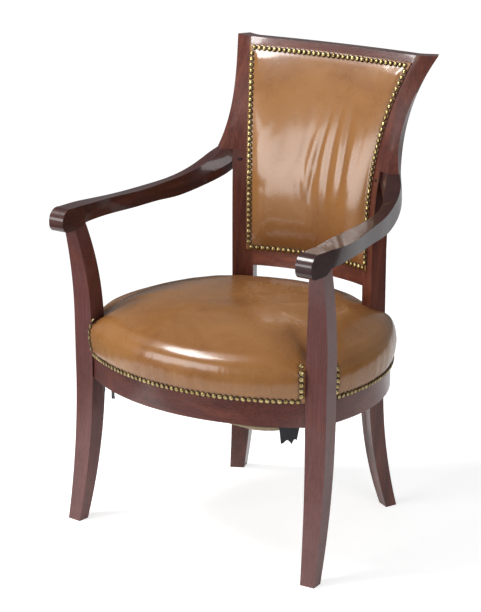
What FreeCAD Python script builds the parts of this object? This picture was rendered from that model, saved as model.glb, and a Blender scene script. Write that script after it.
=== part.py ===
import FreeCAD, Part
import Sketcher
import math
import os

from FreeCAD import Placement, Rotation, Vector

# An armchair with sabre legs, a back that leans and flares, and a sprung leather seat.
# The floor is z = 0, the sitter faces -Y, and the origin lies under the middle of the chair's box.
# Shapes are worked out for the right-hand side (+X), and the left-hand ones mirror them.

document = FreeCAD.newDocument("Armchair")
sheet = document.addObject("Spreadsheet::Sheet", "Sizes")

SIZES = {
    # whole chair
    "chair_height": 880,
    "rail_bottom": 285,
    "rail_height": 60,
    "rail_thickness": 24,
    "fit_gap": 0.3,
    "overrun": 40,
    # front legs with the arms' posts
    "front_leg_x": 262.5,
    "front_leg_face_y": -196,
    "front_leg_width": 43,
    "front_leg_depth": 35,
    "front_leg_lean": 5.5,
    "front_leg_straight_low": 300,
    "front_leg_straight_high": 400,
    "front_foot_width": 28.5,
    "front_foot_depth": 24,
    "front_foot_reach": 33,
    "front_post_width": 24.5,
    "front_post_depth": 30,
    "front_post_reach": 26,
    "front_post_entry": 16,
    # rear legs and stiles
    "rear_foot_x": 175.5,
    "rear_foot_y": 180,
    "rear_foot_width": 28.5,
    "rear_foot_depth": 25,
    "rear_leg_x": 144.5,
    "rear_leg_y": 155,
    "rear_leg_width": 40,
    "rear_leg_depth": 34,
    "rear_leg_straight": 250,
    "stile_valley": 4,
    # back
    "back_start": 475,
    "back_lean_height": 395,
    "panel_hollow": 29,
    "panel_edge_lean": 77,
    "panel_middle_lean": 59,
    "panel_flare": 45,
    "back_rail_bottom": 442,
    "back_rail_height": 62,
    "back_frame_thickness": 24,
    "crest_height": 64,
    "leather_low_margin": 31,
    "leather_top_margin": 13,
    # arms
    "arm_joint": 672,
    "arm_height": 618,
    "arm_underside": 584,
    "arm_nose_x": 273,
    "arm_nose_width": 33,
    "arm_nose_front_y": -255,
    "arm_nose_back_y": -192,
    "arm_nose_drop": 9,
    # plan of the seat
    "front_rail_radius": 420,
    "front_rail_y": -270,
    "side_rail_radius": 320,
    "side_rail_x": 279,
    "side_rail_y": -62,
    "back_rail_radius": 340,
    "back_rail_y": 217,
    # seat's upholstery
    "leather": 2,
    "hessian": 1.2,
    "seat_leather_bottom": 331,
    "seat_bulge": 7,
    "seat_shoulder": 412,
    "seat_crown": 451,
    "seat_dome_reach": 170,
    "web_width": 50,
    "web_thickness": 2,
    "web_spacing": 96,
    "web_ramp": 24,
    "seat_sag": 11,
    "spring_wire": 3.6,
    "spring_radius": 34,
    "spring_waist": 20,
    "spring_top": 386,
    "spring_cover_edge": 14,
    "spring_cover_slope": 36,
    "cloth_thickness": 0.8,
    "cloth_drop": 13,
    "scrap_width": 40,
    "scrap_sag": 15,
    # back's upholstery
    "back_web_thickness": 1.5,
    "back_puff": 20,
    "back_border": 12,
    "back_roll": 16,
    # nails and fixings
    "nail_radius": 5.3,
    "nail_height": 3,
    "nail_pitch": 10.9,
    "nail_row_margin": 7.5,
    "dowel_radius": 5,
    "dowel_length": 38,
    "dowel_spacing": 28,
    "dowel_step": 12,
    "dowel_clearance": 0.15,
    "screw_radius": 1.7,
    "screw_head_radius": 3,
    "screw_head_height": 3,
    "block_screw_length": 38,
    "arm_screw_length": 40,
    "plug_radius": 3.2,
    "plug_length": 5,
    "block_reach": 52,
    "block_height": 44,
}

for row, (name, number) in enumerate(SIZES.items(), start=1):
    sheet.set(f"A{row}", name)
    sheet.set(f"B{row}", str(number))
    sheet.setAlias(f"B{row}", name)
document.recompute()

# Angles in degrees, and the power of the curve by which the back leans.
FRONT_LEG_TURN = 4
REAR_FACE_TURN = 30
REAR_SIDE_TURN = 20
LEAN_POWER = 2.7

# The valley in a stile's front lies at this share of the way from its outer to its inner arris.
VALLEY_SHARE = 0.67

# Sections of a stile's ear, each at a share of the height from the arm's joint to the top, with its outline
# from the inner front arris round to the inner rear arris, in shares of the leg's width from the valley.
EAR_SHARES = (
    (0.0, ((-0.386, 0.132), (0, 0), (0.53, -0.335), (1.085, -0.609),
           (1.52, -0.357), (1.349, 0.109), (0.873, 0.323), (-0.135, 0.806))),
    (0.1, ((-0.343, 0.115), (0, 0), (0.452, -0.236), (0.914, -0.429),
           (1.302, -0.281), (1.152, 0.293), (0.783, 0.375), (-0.146, 0.78))),
    (0.22, ((-0.293, 0.098), (0, 0), (0.371, -0.14), (0.75, -0.255),
            (1.109, -0.189), (0.971, 0.446), (0.673, 0.44), (-0.162, 0.749))),
    (0.36, ((-0.239, 0.08), (0, 0), (0.301, -0.058), (0.608, -0.105),
            (0.967, -0.083), (0.825, 0.556), (0.548, 0.514), (-0.183, 0.714))),
    (0.52, ((-0.181, 0.062), (0, 0), (0.245, -0.003), (0.495, 0.005),
            (0.893, 0.033), (0.727, 0.628), (0.417, 0.593), (-0.209, 0.673))),
    (0.68, ((-0.129, 0.047), (0, 0), (0.205, 0.025), (0.412, 0.058),
            (0.889, 0.143), (0.686, 0.69), (0.307, 0.656), (-0.238, 0.632))),
    (0.84, ((-0.085, 0.033), (0, 0), (0.178, 0.028), (0.357, 0.063),
            (0.931, 0.243), (0.683, 0.786), (0.229, 0.698), (-0.268, 0.592))),
    (1.0, ((-0.05, 0.02), (0, 0), (0.156, 0.022), (0.312, 0.052),
           (0.995, 0.33), (0.69, 0.93), (0.192, 0.71), (-0.299, 0.551))),
)

# Sections of an arm between its nose and the stile: inner top, outer top, outer bottom, inner bottom and
# inner middle, which runs into the stile. Each is given as shares of the arm's reach in x and y, and of its
# rise to the joint in z.
ARM_SHARES = (
    ((0.874, 0.204, 0.01), (1.004, 0.204, -0.02), (0.998, 0.204, -0.62),
     (0.884, 0.204, -0.60), (0.879, 0.204, -0.295)),
    ((0.862, 0.284, 0.03), (0.998, 0.284, -0.05), (0.990, 0.284, -0.60),
     (0.872, 0.284, -0.56), (0.867, 0.284, -0.265)),
    ((0.836, 0.452, 0.02), (0.955, 0.452, -0.05), (0.948, 0.452, -0.585),
     (0.845, 0.452, -0.55), (0.840, 0.452, -0.265)),
    ((0.814, 0.645, 0.07), (0.900, 0.645, 0.035), (0.893, 0.650, -0.58),
     (0.824, 0.650, -0.54), (0.818, 0.648, -0.235)),
    ((0.776, 0.784, 0.205), (0.853, 0.789, 0.175), (0.840, 0.813, -0.50),
     (0.768, 0.806, -0.46), (0.770, 0.796, -0.13)),
    ((0.728, 0.867, 0.42), (0.815, 0.884, 0.40), (0.800, 0.919, -0.20),
     (0.692, 0.915, -0.19), (0.693, 0.897, 0.13)),
    ((0.682, 0.930, 0.70), (0.775, 0.950, 0.69), (0.752, 0.992, 0.27),
     (0.620, 1.035, 0.22), (0.590, 0.990, 0.55)),
)

# How far the arm's last corner lies from the ear's lower outer rear corner towards its inner rear one.
ARM_END_SHARE = 0.2

# The nose of an arm seen from the side, from its top rear corner: each corner is a share of the nose's
# length forward and of its height down; the two corners of a pair are joined by a round.
NOSE_SHARES = {
    "top_front": ((0.56, 0.0), (0.885, 0.13), (1.0, 0.46)),
    "low_front": ((1.0, 0.66), (0.925, 0.90), (0.74, 1.0)),
    "step": ((0.38, 1.0), (0.16, 0.94), (0.0, 0.79)),
}

# Side of the seat cushion: shares of its height from the nails to the shoulder, and of its bulge.
SEAT_SIDE_SHARES = (
    (0.0, 0.0), (0.17, 0.55), (0.42, 1.0), (0.60, 1.0), (0.76, 0.55), (0.88, -0.3), (1.0, -1.9))
# Crown of the seat cushion: shares of the way in from the shoulder to the middle.
SEAT_DOME_SHARES = (0.05, 0.12, 0.22, 0.34, 0.48, 0.62, 0.76, 0.9)

# Share of the seat's side that the nails beside the front legs climb.
NAIL_ROW_SHARE = 0.93

# How far the front and rear rails' ends run into the legs, outside and inside, as shares of a leg's width.
FRONT_RAIL_SHARES = (0.2, 0.485)
REAR_RAIL_SHARES = (0.175, 0.33)

# Back cushion: shares of its height, and how much of its puff it has there.
BACK_PUFF_SHARES = ((0.0, 0.02), (0.027, 0.02), (0.055, 0.5), (0.095, 0.85), (0.18, 1.0), (0.35, 1.0),
                    (0.60, 1.0), (0.82, 1.0), (0.905, 0.85), (0.945, 0.5), (0.973, 0.02), (1.0, 0.02))

# The roll at the back cushion's edge passes through this share of its width and of its rise.
ROLL_MIDDLE_SHARE = 0.36
ROLL_RISE_SHARE = 0.72

# Share of the roll's width by which the back's cloths stop short of its foot and its top.
BACK_CLOTH_SHARE = 0.8

# Shreds of the bottoming cloth: the bow they hang from (0 the front rail, 1 the right-hand one), the place
# on it in degrees round from +X, and shares of their width and drop.
CLOTH_SHREDS = ((0, -119, 0.75, 1.0), (0, -113.7, 0.9, 1.1), (0, -59, 2.8, 1.9), (1, -14.5, 1.1, 1.7))

# Scrap of hessian under the front rail: its ends in degrees round from +X, and at each section along it a
# share of the way and of its sag.
SCRAP_ENDS = (-75.4, -57.7)
SCRAP_SHARES = ((0.0, 0.4), (0.25, 0.8), (0.5, 1.0), (0.75, 0.85), (1.0, 0.4))

# Share of the sag at which the scrap's torn inner edge hangs.
SCRAP_EDGE_SHARE = 0.5


class Size:
    """A length of the sheet, or a sum of such lengths, as a number and as the expression that gives it."""

    def __init__(self, number, text):
        self.number = float(number)
        self.text = text

    @staticmethod
    def of(other):
        return other if isinstance(other, Size) else Size(other, repr(other))

    def __add__(self, other):
        other = Size.of(other)
        return Size(self.number + other.number, f"({self.text} + {other.text})")

    def __sub__(self, other):
        other = Size.of(other)
        return Size(self.number - other.number, f"({self.text} - {other.text})")

    def __mul__(self, other):
        other = Size.of(other)
        return Size(self.number * other.number, f"({self.text} * {other.text})")

    def __truediv__(self, other):
        other = Size.of(other)
        return Size(self.number / other.number, f"({self.text} / {other.text})")

    def __neg__(self):
        return Size(-self.number, f"(0 - {self.text})")

    def root(self):
        return Size(math.sqrt(self.number), f"sqrt({self.text})")


def length(name):
    return Size(sheet.get(name), f"Sizes.{name}")


def mm(name):
    return float(sheet.get(name))


SIDES = {"left": -1, "right": 1}
UP = Vector(0, 0, 1)
sub_parts = []


def keep(part, label):
    """Name a finished sub-part and put it on the list of those that are written out."""
    part.Label = label
    sub_parts.append(part)
    return part


def feature(label, shape):
    """An object whose shape is worked out in code."""
    made = document.addObject("Part::Feature", label)
    made.Shape = shape
    made.Placement = Placement()
    return made


def cut(label, base, *tools):
    """The base with each tool taken away in turn."""
    for order, tool in enumerate(tools):
        less = document.addObject("Part::Cut", f"{label}_cut_{order}")
        less.Base, less.Tool = base, tool
        base = less
    return base


def mirrored(shape, sign):
    return shape if sign > 0 else shape.mirror(Vector(), Vector(1, 0, 0))


def blend(low, high, share):
    return low + (high - low) * share


class Outline:
    """Closed outlines of lines and arcs in one sketch of a body, each corner held by two lengths."""

    def __init__(self, body, name, role):
        self.sketch = body.newObject("Sketcher::SketchObject", name)
        plane = next(part for part in body.Origin.OriginFeatures if part.Role == role)
        self.sketch.AttachmentSupport = [(plane, "")]
        self.sketch.MapMode = "FlatFace"

    def hold(self, constraint, distance):
        index = self.sketch.addConstraint(constraint)
        self.sketch.setExpression(f"Constraints[{index}]", distance.text)

    def start(self, across, along):
        self.first_corner = self.corner = (Size.of(across), Size.of(along))
        self.first = self.last = None

    def edge(self, curve, near_end, far_end, corner):
        number = self.sketch.addGeometry(curve, False)
        if self.last is None:
            self.first = (number, near_end)
        else:
            self.sketch.addConstraint(Sketcher.Constraint("Coincident", *self.last, number, near_end))
        if corner is self.first_corner:
            self.sketch.addConstraint(Sketcher.Constraint("Coincident", number, far_end, *self.first))
        for kind, distance in zip(("DistanceX", "DistanceY"), corner):
            self.hold(Sketcher.Constraint(kind, -1, 1, number, far_end, distance.number), distance)
        self.last = (number, far_end)
        self.corner = corner
        return number

    def ends(self, across, along):
        corner = self.first_corner if across is None else (Size.of(across), Size.of(along))
        here, there = (Vector(a.number, b.number, 0) for a, b in (self.corner, corner))
        return corner, here, there

    def line(self, across=None, along=None):
        """A line to a corner, or back to the first corner where none is named."""
        corner, here, there = self.ends(across, along)
        self.edge(Part.LineSegment(here, there), 1, 2, corner)

    def arc(self, radius, turn, across=None, along=None):
        """An arc to a corner: turn 1 has its centre on the left hand, turn -1 on the right."""
        corner, here, there = self.ends(across, along)
        chord = there - here
        rise = math.sqrt(radius.number ** 2 - (chord.Length / 2) ** 2)
        centre = (here + there) * 0.5 + Vector(-chord.y, chord.x, 0).normalize() * (rise * turn)
        arc_ends = (here, there) if turn > 0 else (there, here)
        angles = [math.atan2(end.y - centre.y, end.x - centre.x) for end in arc_ends]
        if angles[1] < angles[0]:
            angles[1] += 2 * math.pi
        circle = Part.Circle(centre, UP, radius.number)
        near_end, far_end = (1, 2) if turn > 0 else (2, 1)
        number = self.edge(Part.ArcOfCircle(circle, *angles), near_end, far_end, corner)
        self.hold(Sketcher.Constraint("Radius", number, radius.number), radius)


def pad(body, outline, deep, symmetric=False):
    made = body.newObject("PartDesign::Pad", f"{body.Name}_pad")
    made.Profile = outline.sketch
    made.setExpression("Length", deep.text)
    if symmetric:
        made.SideType = "Symmetric"
    body.Tip = made
    return made


def bow_radius(span, rise):
    """Radius of the arc that sets off straight and has moved sideways by rise after span."""
    return (span * span + rise * rise) / (rise * 2)


def polygon(points):
    return Part.makePolygon([*points, points[0]])


def arc(start, middle, end):
    return Part.Arc(start, middle, end).toShape()


def line(start, end):
    return Part.makeLine(start, end)


def loft(outlines, ruled=False):
    return Part.makeLoft(outlines, True, ruled)


def rod(radius, start, direction, reach):
    return Part.makeCylinder(radius, reach, start, direction)


# Front legs: a sabre leg and the arm's post in one piece of wood, sawn to one outline from the side and
# another from the front, then turned a little outwards.

def front_leg_blank(side, sign):
    body = document.addObject("PartDesign::Body", f"front_leg_{side}_blank")
    low, high = length("front_leg_straight_low"), length("front_leg_straight_high")
    top, deep = length("arm_underside") + length("front_post_entry"), length("front_leg_depth")
    foot_reach, post_reach = length("front_foot_reach"), length("front_post_reach")
    foot_back = length("front_foot_depth") - foot_reach
    post_back = length("front_post_depth") - post_reach
    profile = Outline(body, f"front_leg_{side}_side", "YZ_Plane")
    profile.start(-foot_reach, 0)
    profile.line(foot_back, 0)
    profile.arc(bow_radius(low, deep - foot_back), 1, deep, low)
    profile.line(deep, high)
    profile.arc(bow_radius(top - high, deep - post_back), 1, post_back, top)
    profile.line(-post_reach, top)
    profile.arc(bow_radius(top - high, post_reach), -1, 0, high)
    profile.line(0, low)
    profile.arc(bow_radius(low, foot_reach), -1)
    pad(body, profile, length("front_leg_width") + length("overrun"), symmetric=True)
    document.recompute()

    half, lean = length("front_leg_width") / 2, length("front_leg_lean") / 2
    margin = length("overrun")
    outer_foot, outer_post = half - lean, half + lean
    inner_foot = length("front_foot_width") - outer_foot
    inner_post = length("front_post_width") - outer_post
    middle = (low + high) / 2
    flip = Size.of(sign)
    face = Outline(body, f"front_leg_{side}_face", "XZ_Plane")
    face.start(flip * outer_foot, 0)
    face.line(flip * outer_post, top)
    face.line(-(flip * inner_post), top)
    face.arc(bow_radius(top - middle, half - inner_post), sign, -(flip * half), middle)
    face.arc(bow_radius(middle, half - inner_foot), sign, -(flip * inner_foot), 0)
    face.line()
    face.start(-(half + margin), -margin)
    face.line(half + margin, -margin)
    face.line(half + margin, top + margin)
    face.line(-(half + margin), top + margin)
    face.line()
    waste = body.newObject("PartDesign::Pocket", f"front_leg_{side}_waste")
    waste.Profile = face.sketch
    waste.Type = "ThroughAll"
    waste.SideType = "Symmetric"
    body.Tip = waste
    body.Placement = Placement(
        Vector(sign * mm("front_leg_x"), mm("front_leg_face_y"), 0),
        Rotation(UP, sign * FRONT_LEG_TURN))
    return body


# Rear legs: a sabre leg and a stile in one piece, with a valley down the stile's front. The stile leans
# back and flares outwards, and above the arm's joint it swells into an ear.

def lean_share(z):
    """How far the back has leaned at a height, as a share of its lean near the top."""
    return max(0.0, (z - mm("back_start")) / mm("back_lean_height")) ** LEAN_POWER


def hollow_y(x, edge):
    """Front of the back between the stiles, hollow from side to side, where its right edge is at a place."""
    depth = mm("panel_hollow") - (mm("panel_edge_lean") - mm("panel_middle_lean")) * lean_share(edge.z)
    return edge.y + depth * (1 - (x / edge.x) ** 2)


def rear_corners(z):
    """A rear leg's outline: inner front, valley, outer front, outer rear and inner rear corner."""
    straight = mm("rear_leg_straight")
    sabre = (max(0.0, straight - z) / straight) ** 2
    middle = Vector(
        blend(mm("rear_leg_x"), mm("rear_foot_x"), sabre) + mm("panel_flare") * lean_share(z),
        blend(mm("rear_leg_y"), mm("rear_foot_y"), sabre) + mm("panel_edge_lean") * lean_share(z), z)
    width = blend(mm("rear_leg_width"), mm("rear_foot_width"), sabre)
    depth = blend(mm("rear_leg_depth"), mm("rear_foot_depth"), sabre)
    face, side = math.radians(REAR_FACE_TURN), math.radians(REAR_SIDE_TURN)
    across = Vector(math.cos(face), -math.sin(face), 0)
    inwards = Vector(math.sin(side), math.cos(side), 0)
    outer, inner = middle + across * (width / 2), middle - across * (width / 2)
    valley = outer + (inner - outer) * VALLEY_SHARE + inwards * (mm("stile_valley") * (1 - sabre))
    inner_rear = inner + inwards * depth
    inner.y = blend(inner.y, hollow_y(inner.x, valley), 1 - sabre)
    return [inner, valley, outer, outer + inwards * depth, inner_rear]


def ear_corners(share, places):
    z = blend(mm("arm_joint"), mm("chair_height"), share)
    valley = rear_corners(z)[1]
    unit = mm("rear_leg_width")
    corners = [valley + Vector(x * unit, y * unit, 0) for x, y in places]
    corners[0].y = hollow_y(corners[0].x, valley)
    return corners


def rear_leg_shape():
    straight, start, joint = mm("rear_leg_straight"), mm("back_start"), mm("arm_joint")
    parts = [
        loft([polygon(rear_corners(straight * step / 4)) for step in range(5)]),
        loft([polygon(rear_corners(z)) for z in (straight, start)], ruled=True),
        loft([polygon(rear_corners(blend(start, joint, step / 4))) for step in range(5)]),
        loft([polygon(ear_corners(share, places)) for share, places in EAR_SHARES]),
    ]
    return parts[0].multiFuse(parts[1:]).removeSplitter()


# Arms: a bent bar with a rounded nose over the front post.

def nose_shape():
    back, front = mm("arm_nose_back_y"), mm("arm_nose_front_y")
    top, low = mm("arm_height"), mm("arm_underside") - mm("arm_nose_drop")
    inner = mm("arm_nose_x") - mm("arm_nose_width") / 2

    def place(shares):
        return Vector(inner, blend(back, front, shares[0]), blend(top, low, shares[1]))

    rounds = [[place(shares) for shares in NOSE_SHARES[name]] for name in ("top_front", "low_front", "step")]
    edges = []
    corner = place((0, 0))
    for points in rounds:
        edges += [line(corner, points[0]), arc(*points)]
        corner = points[-1]
    edges.append(line(corner, place((0, 0))))
    return Part.Face(Part.Wire(edges)).extrude(Vector(mm("arm_nose_width"), 0, 0))


def arm_shape():
    half = mm("arm_nose_width") / 2
    inner, outer = mm("arm_nose_x") - half, mm("arm_nose_x") + half
    front, back = mm("arm_nose_front_y"), mm("arm_nose_back_y")
    top, low = mm("arm_height"), mm("arm_underside")
    joint = ear_corners(*EAR_SHARES[0])
    rise = mm("arm_joint") - top
    stations = [[Vector(inner, back, top), Vector(outer, back, top), Vector(outer, back, low),
                 Vector(inner, back, low), Vector(inner, back, (top + low) / 2)]]
    for shares in ARM_SHARES:
        stations.append([
            Vector(x * outer, blend(front, joint[4].y, y), top + z * rise) for x, y, z in shares])
    stations.append([joint[3], joint[4], joint[5], blend(joint[6], joint[7], ARM_END_SHARE), joint[2]])
    return loft([polygon(corners) for corners in stations]).fuse(nose_shape()).removeSplitter()


# Seat rails, each bowed in plan and left long enough to run into the legs, which cut its ends to fit.

def seat_rail_body(label):
    body = document.addObject("PartDesign::Body", f"{label}_blank")
    body.setExpression("Placement.Base.z", length("rail_bottom").text)
    return body


def front_rail_blank():
    body = seat_rail_body("seat_rail_front")
    radius, near = length("front_rail_radius"), length("front_rail_y")
    inner = radius - length("rail_thickness")
    joint, width = length("front_leg_x"), length("front_leg_width")
    reach, inner_reach = (joint - width * share for share in FRONT_RAIL_SHARES)
    outer_y = near + radius - (radius * radius - reach * reach).root()
    inner_y = near + radius - (inner * inner - inner_reach * inner_reach).root()
    plan = Outline(body, "seat_rail_front_plan", "XY_Plane")
    plan.start(-reach, outer_y)
    plan.arc(radius, 1, reach, outer_y)
    plan.line(inner_reach, inner_y)
    plan.arc(inner, -1, -inner_reach, inner_y)
    plan.line()
    pad(body, plan, length("rail_height"))
    return body


def side_rail_blank(side, sign):
    body = seat_rail_body(f"seat_rail_{side}")
    radius, middle_y = length("side_rail_radius"), length("side_rail_y")
    inner = radius - length("rail_thickness")
    centre_x = length("side_rail_x") - radius
    front_y = length("front_leg_face_y") + length("front_leg_depth") * 0.9
    rear_y = length("rear_leg_y") + length("rear_leg_depth") * 0.57
    flip = Size.of(sign)

    def corner(bow, y):
        away = y - middle_y
        return flip * (centre_x + (bow * bow - away * away).root()), y

    plan = Outline(body, f"seat_rail_{side}_plan", "XY_Plane")
    plan.start(*corner(radius, front_y))
    plan.arc(radius, sign, *corner(radius, rear_y))
    plan.line(*corner(inner, rear_y))
    plan.arc(inner, -sign, *corner(inner, front_y))
    plan.line()
    pad(body, plan, length("rail_height"))
    return body


def rear_rail_blank():
    body = seat_rail_body("seat_rail_back")
    radius, far = length("back_rail_radius"), length("back_rail_y")
    inner = radius - length("rail_thickness")
    joint, width = length("rear_leg_x"), length("rear_leg_width")
    reach, inner_reach = (joint - width * share for share in REAR_RAIL_SHARES)
    outer_y = far - radius + (radius * radius - reach * reach).root()
    inner_y = far - radius + (inner * inner - inner_reach * inner_reach).root()
    plan = Outline(body, "seat_rail_back_plan", "XY_Plane")
    plan.start(-inner_reach, inner_y)
    plan.arc(inner, -1, inner_reach, inner_y)
    plan.line(reach, outer_y)
    plan.arc(radius, 1, -reach, outer_y)
    plan.line()
    pad(body, plan, length("rail_height"))
    return body


# The plan of the seat at any distance out from the rails' faces: four arcs that meet in corners.

def bows(out):
    """Centre and radius of the front, side and back bows, the side one for the right."""
    front, side, back = mm("front_rail_radius"), mm("side_rail_radius"), mm("back_rail_radius")
    return (
        (Vector(0, mm("front_rail_y") + front, 0), front + out),
        (Vector(mm("side_rail_x") - side, mm("side_rail_y"), 0), side + out),
        (Vector(0, mm("back_rail_y") - back, 0), back + out),
    )


def meeting(one, other, sign_y):
    """Where two bows cross, on the right and in front (-1) or behind (1)."""
    (centre, radius), (second, second_radius) = one, other
    between = second - centre
    gap = between.Length
    along = (gap ** 2 + radius ** 2 - second_radius ** 2) / (2 * gap)
    aside = math.sqrt(radius ** 2 - along ** 2)
    foot = centre + between * (along / gap)
    normal = Vector(-between.y, between.x, 0) * (aside / gap)
    places = [foot + normal, foot - normal]
    return max(places, key=lambda place: place.x + sign_y * place.y)


def seat_plan(out, z):
    front, side, back = bows(out)
    front_corner, back_corner = meeting(front, side, -1), meeting(side, back, 1)
    middle = (front_corner + back_corner) * 0.5
    outwards = (middle - side[0]).normalize()
    side_middle = side[0] + outwards * side[1]
    flat = [
        front_corner, side_middle, back_corner, back[0] + Vector(0, back[1], 0),
        Vector(-back_corner.x, back_corner.y, 0), Vector(-side_middle.x, side_middle.y, 0),
        Vector(-front_corner.x, front_corner.y, 0), front[0] - Vector(0, front[1], 0)]
    points = [Vector(point.x, point.y, z) for point in flat]
    points.append(points[0])
    return Part.Wire([arc(*points[step:step + 3]) for step in range(0, len(points) - 1, 2)])


def seat_dome(skin, low=None):
    """The seat cushion's form, its sides that far out from the rails' faces, its crown as much lower."""
    bottom, shoulder, crown = mm("seat_leather_bottom"), mm("seat_shoulder"), mm("seat_crown")
    bulge, reach = mm("seat_bulge"), mm("seat_dome_reach")
    drop = mm("fit_gap") + mm("leather") - skin
    sections = [seat_plan(skin, low)] if low else []
    for share, out in SEAT_SIDE_SHARES:
        sections.append(seat_plan(skin + out * bulge, blend(bottom, shoulder, share) - drop * share))
    side_end = -SEAT_SIDE_SHARES[-1][1] * bulge
    for share in SEAT_DOME_SHARES:
        z = crown - (crown - shoulder) * (1 - share) ** 2 - drop
        sections.append(seat_plan(skin - side_end - share * (reach - side_end), z))
    return loft(sections, ruled=True)


def clear_posts():
    """Room for the four legs through the upholstery, a fit gap wider than the wood."""
    gap, low = mm("fit_gap"), mm("rail_bottom")
    high = mm("back_start")
    prisms = []
    for sign in SIDES.values():
        width, depth = mm("front_leg_width") + 2 * gap, mm("front_leg_depth") + 2 * gap
        front = Part.makeBox(width, depth, high - low, Vector(-width / 2, -gap, 0))
        place = Vector(sign * mm("front_leg_x"), mm("front_leg_face_y"), low)
        front.Placement = Placement(place, Rotation(UP, sign * FRONT_LEG_TURN))
        prisms.append(front)
        corners = rear_corners(low)
        centre = sum(corners, Vector()) * (1 / len(corners))
        wider = [corner + (corner - centre).normalize() * (2 * gap) for corner in corners]
        prism = Part.Face(polygon(wider)).extrude(UP * (high - low))
        prisms.append(mirrored(prism, sign))
    return prisms


# Seat's stuffing, the hessian over the springs, and the leather.

def spring_cover(skin):
    """The hessian's form over the springs: a flat top and sloping sides down to the rails."""
    low, high = mm("rail_bottom") + mm("rail_height") + mm("fit_gap"), mm("spring_top") + mm("fit_gap")
    edge, slope = mm("spring_cover_edge"), mm("spring_cover_slope")
    return loft([seat_plan(skin - edge, low), seat_plan(skin - edge - slope, high + skin)], ruled=True)


def seat_leather_shape():
    gap, bottom = mm("fit_gap"), mm("seat_leather_bottom")
    shell = seat_dome(gap + mm("leather")).cut(seat_dome(gap, bottom - mm("overrun")))
    return shell.cut(clear_posts())


def seat_stuffing_shape():
    low = mm("rail_bottom") + mm("rail_height") + mm("fit_gap")
    wide = 4 * mm("front_leg_x")
    below = Part.makeBox(wide, wide, low, Vector(-wide / 2, -wide / 2, 0))
    hollow = spring_cover(mm("hessian") + mm("fit_gap"))
    return seat_dome(0).cut([below, hollow, *clear_posts()])


def spring_hessian_shape():
    low = mm("rail_bottom") + mm("rail_height") + mm("fit_gap")
    inner = spring_cover(0)
    open_foot = Part.Face(seat_plan(-mm("spring_cover_edge"), low)).extrude(-UP * mm("overrun"))
    return spring_cover(mm("hessian")).cut([inner, open_foot, *clear_posts()])


# Webbing under the rails: straps over and under one another, sagging most in the middle.

def web_height(x, y):
    front, side, back = bows(0)
    across, along = side[0].x + side[1], (back[0].y + back[1] - front[0].y + front[1]) / 2
    middle = (back[0].y + back[1] + front[0].y - front[1]) / 2
    rest = mm("rail_bottom") - mm("fit_gap") - mm("web_thickness") / 2
    sag = (1 - (x / across) ** 2) * (1 - ((y - middle) / along) ** 2)
    return rest - mm("seat_sag") * sag


def web_places():
    spacing = mm("web_spacing")
    centre = (mm("front_rail_y") + mm("back_rail_y")) / 2
    return [step * spacing for step in (-1, 0, 1)], [centre + step * spacing for step in (-1, 0, 1)]


def strap(crossings, ends, lies):
    """Profile of a strap as (distance, height) pairs, lying over or under the others at each crossing."""
    half, ramp = mm("web_width") / 2, mm("web_ramp")
    step = (mm("web_thickness") + mm("fit_gap")) / 2
    points = [(ends[0][0], ends[0][1]), (ends[0][0] + mm("rail_thickness"), ends[0][1])]
    for (place, height), over in zip(crossings, lies):
        level = height + step * over
        points += [(place - half, level), (place + half, level)]
    points += [(ends[1][0] - mm("rail_thickness"), ends[1][1]), (ends[1][0], ends[1][1])]
    return points


def strap_shape(points, place, lengthwise):
    half, thick = mm("web_width") / 2, mm("web_thickness") / 2
    outline = [(along, z + thick) for along, z in points]
    outline += [(along, z - thick) for along, z in reversed(points)]
    if lengthwise:
        face = Part.Face(polygon([Vector(place - half, along, z) for along, z in outline]))
        return face.extrude(Vector(mm("web_width"), 0, 0))
    face = Part.Face(polygon([Vector(along, place - half, z) for along, z in outline]))
    return face.extrude(Vector(0, mm("web_width"), 0))


def webbing():
    columns, rows = web_places()
    rest = mm("rail_bottom") - mm("fit_gap") - mm("web_thickness") / 2
    margin = mm("rail_thickness") / 4
    front, side, back = bows(-margin)
    straps = {True: [], False: []}
    for column, x in enumerate(columns):
        wide = abs(x) + mm("web_width") / 2
        near = front[0].y - math.sqrt(front[1] ** 2 - wide ** 2)
        far = back[0].y + math.sqrt(back[1] ** 2 - wide ** 2)
        lies = [1 if (column + row) % 2 else -1 for row in range(len(rows))]
        crossings = [(y, web_height(x, y)) for y in rows]
        profile = strap(crossings, [(near, rest), (far, rest)], lies)
        straps[True].append(strap_shape(profile, x, True))
    for row, y in enumerate(rows):
        away = max(abs(y + half - side[0].y) for half in (-mm("web_width") / 2, mm("web_width") / 2))
        reach = side[0].x + math.sqrt(side[1] ** 2 - away ** 2)
        lies = [-1 if (column + row) % 2 else 1 for column in range(len(columns))]
        crossings = [(x, web_height(x, y)) for x in columns]
        profile = strap(crossings, [(-reach, rest), (reach, rest)], lies)
        straps[False].append(strap_shape(profile, y, False))
    return straps


# Springs: hourglass coils of one unbroken wire, each run as arcs in pairs that meet without a kink.

SPRING_HALF_TURNS = 12


def spring_place(turn, height):
    """Point and direction of a spring's wire after that many half turns."""
    def at(position):
        share = position / SPRING_HALF_TURNS
        waist = abs(2 * share - 1) ** 1.5
        radius = blend(mm("spring_waist"), mm("spring_radius"), waist)
        angle = position * math.pi
        return Vector(radius * math.cos(angle), radius * math.sin(angle), height * share)

    nudge = 0.001
    return at(turn), (at(turn + nudge) - at(turn - nudge)).normalize()


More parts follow.
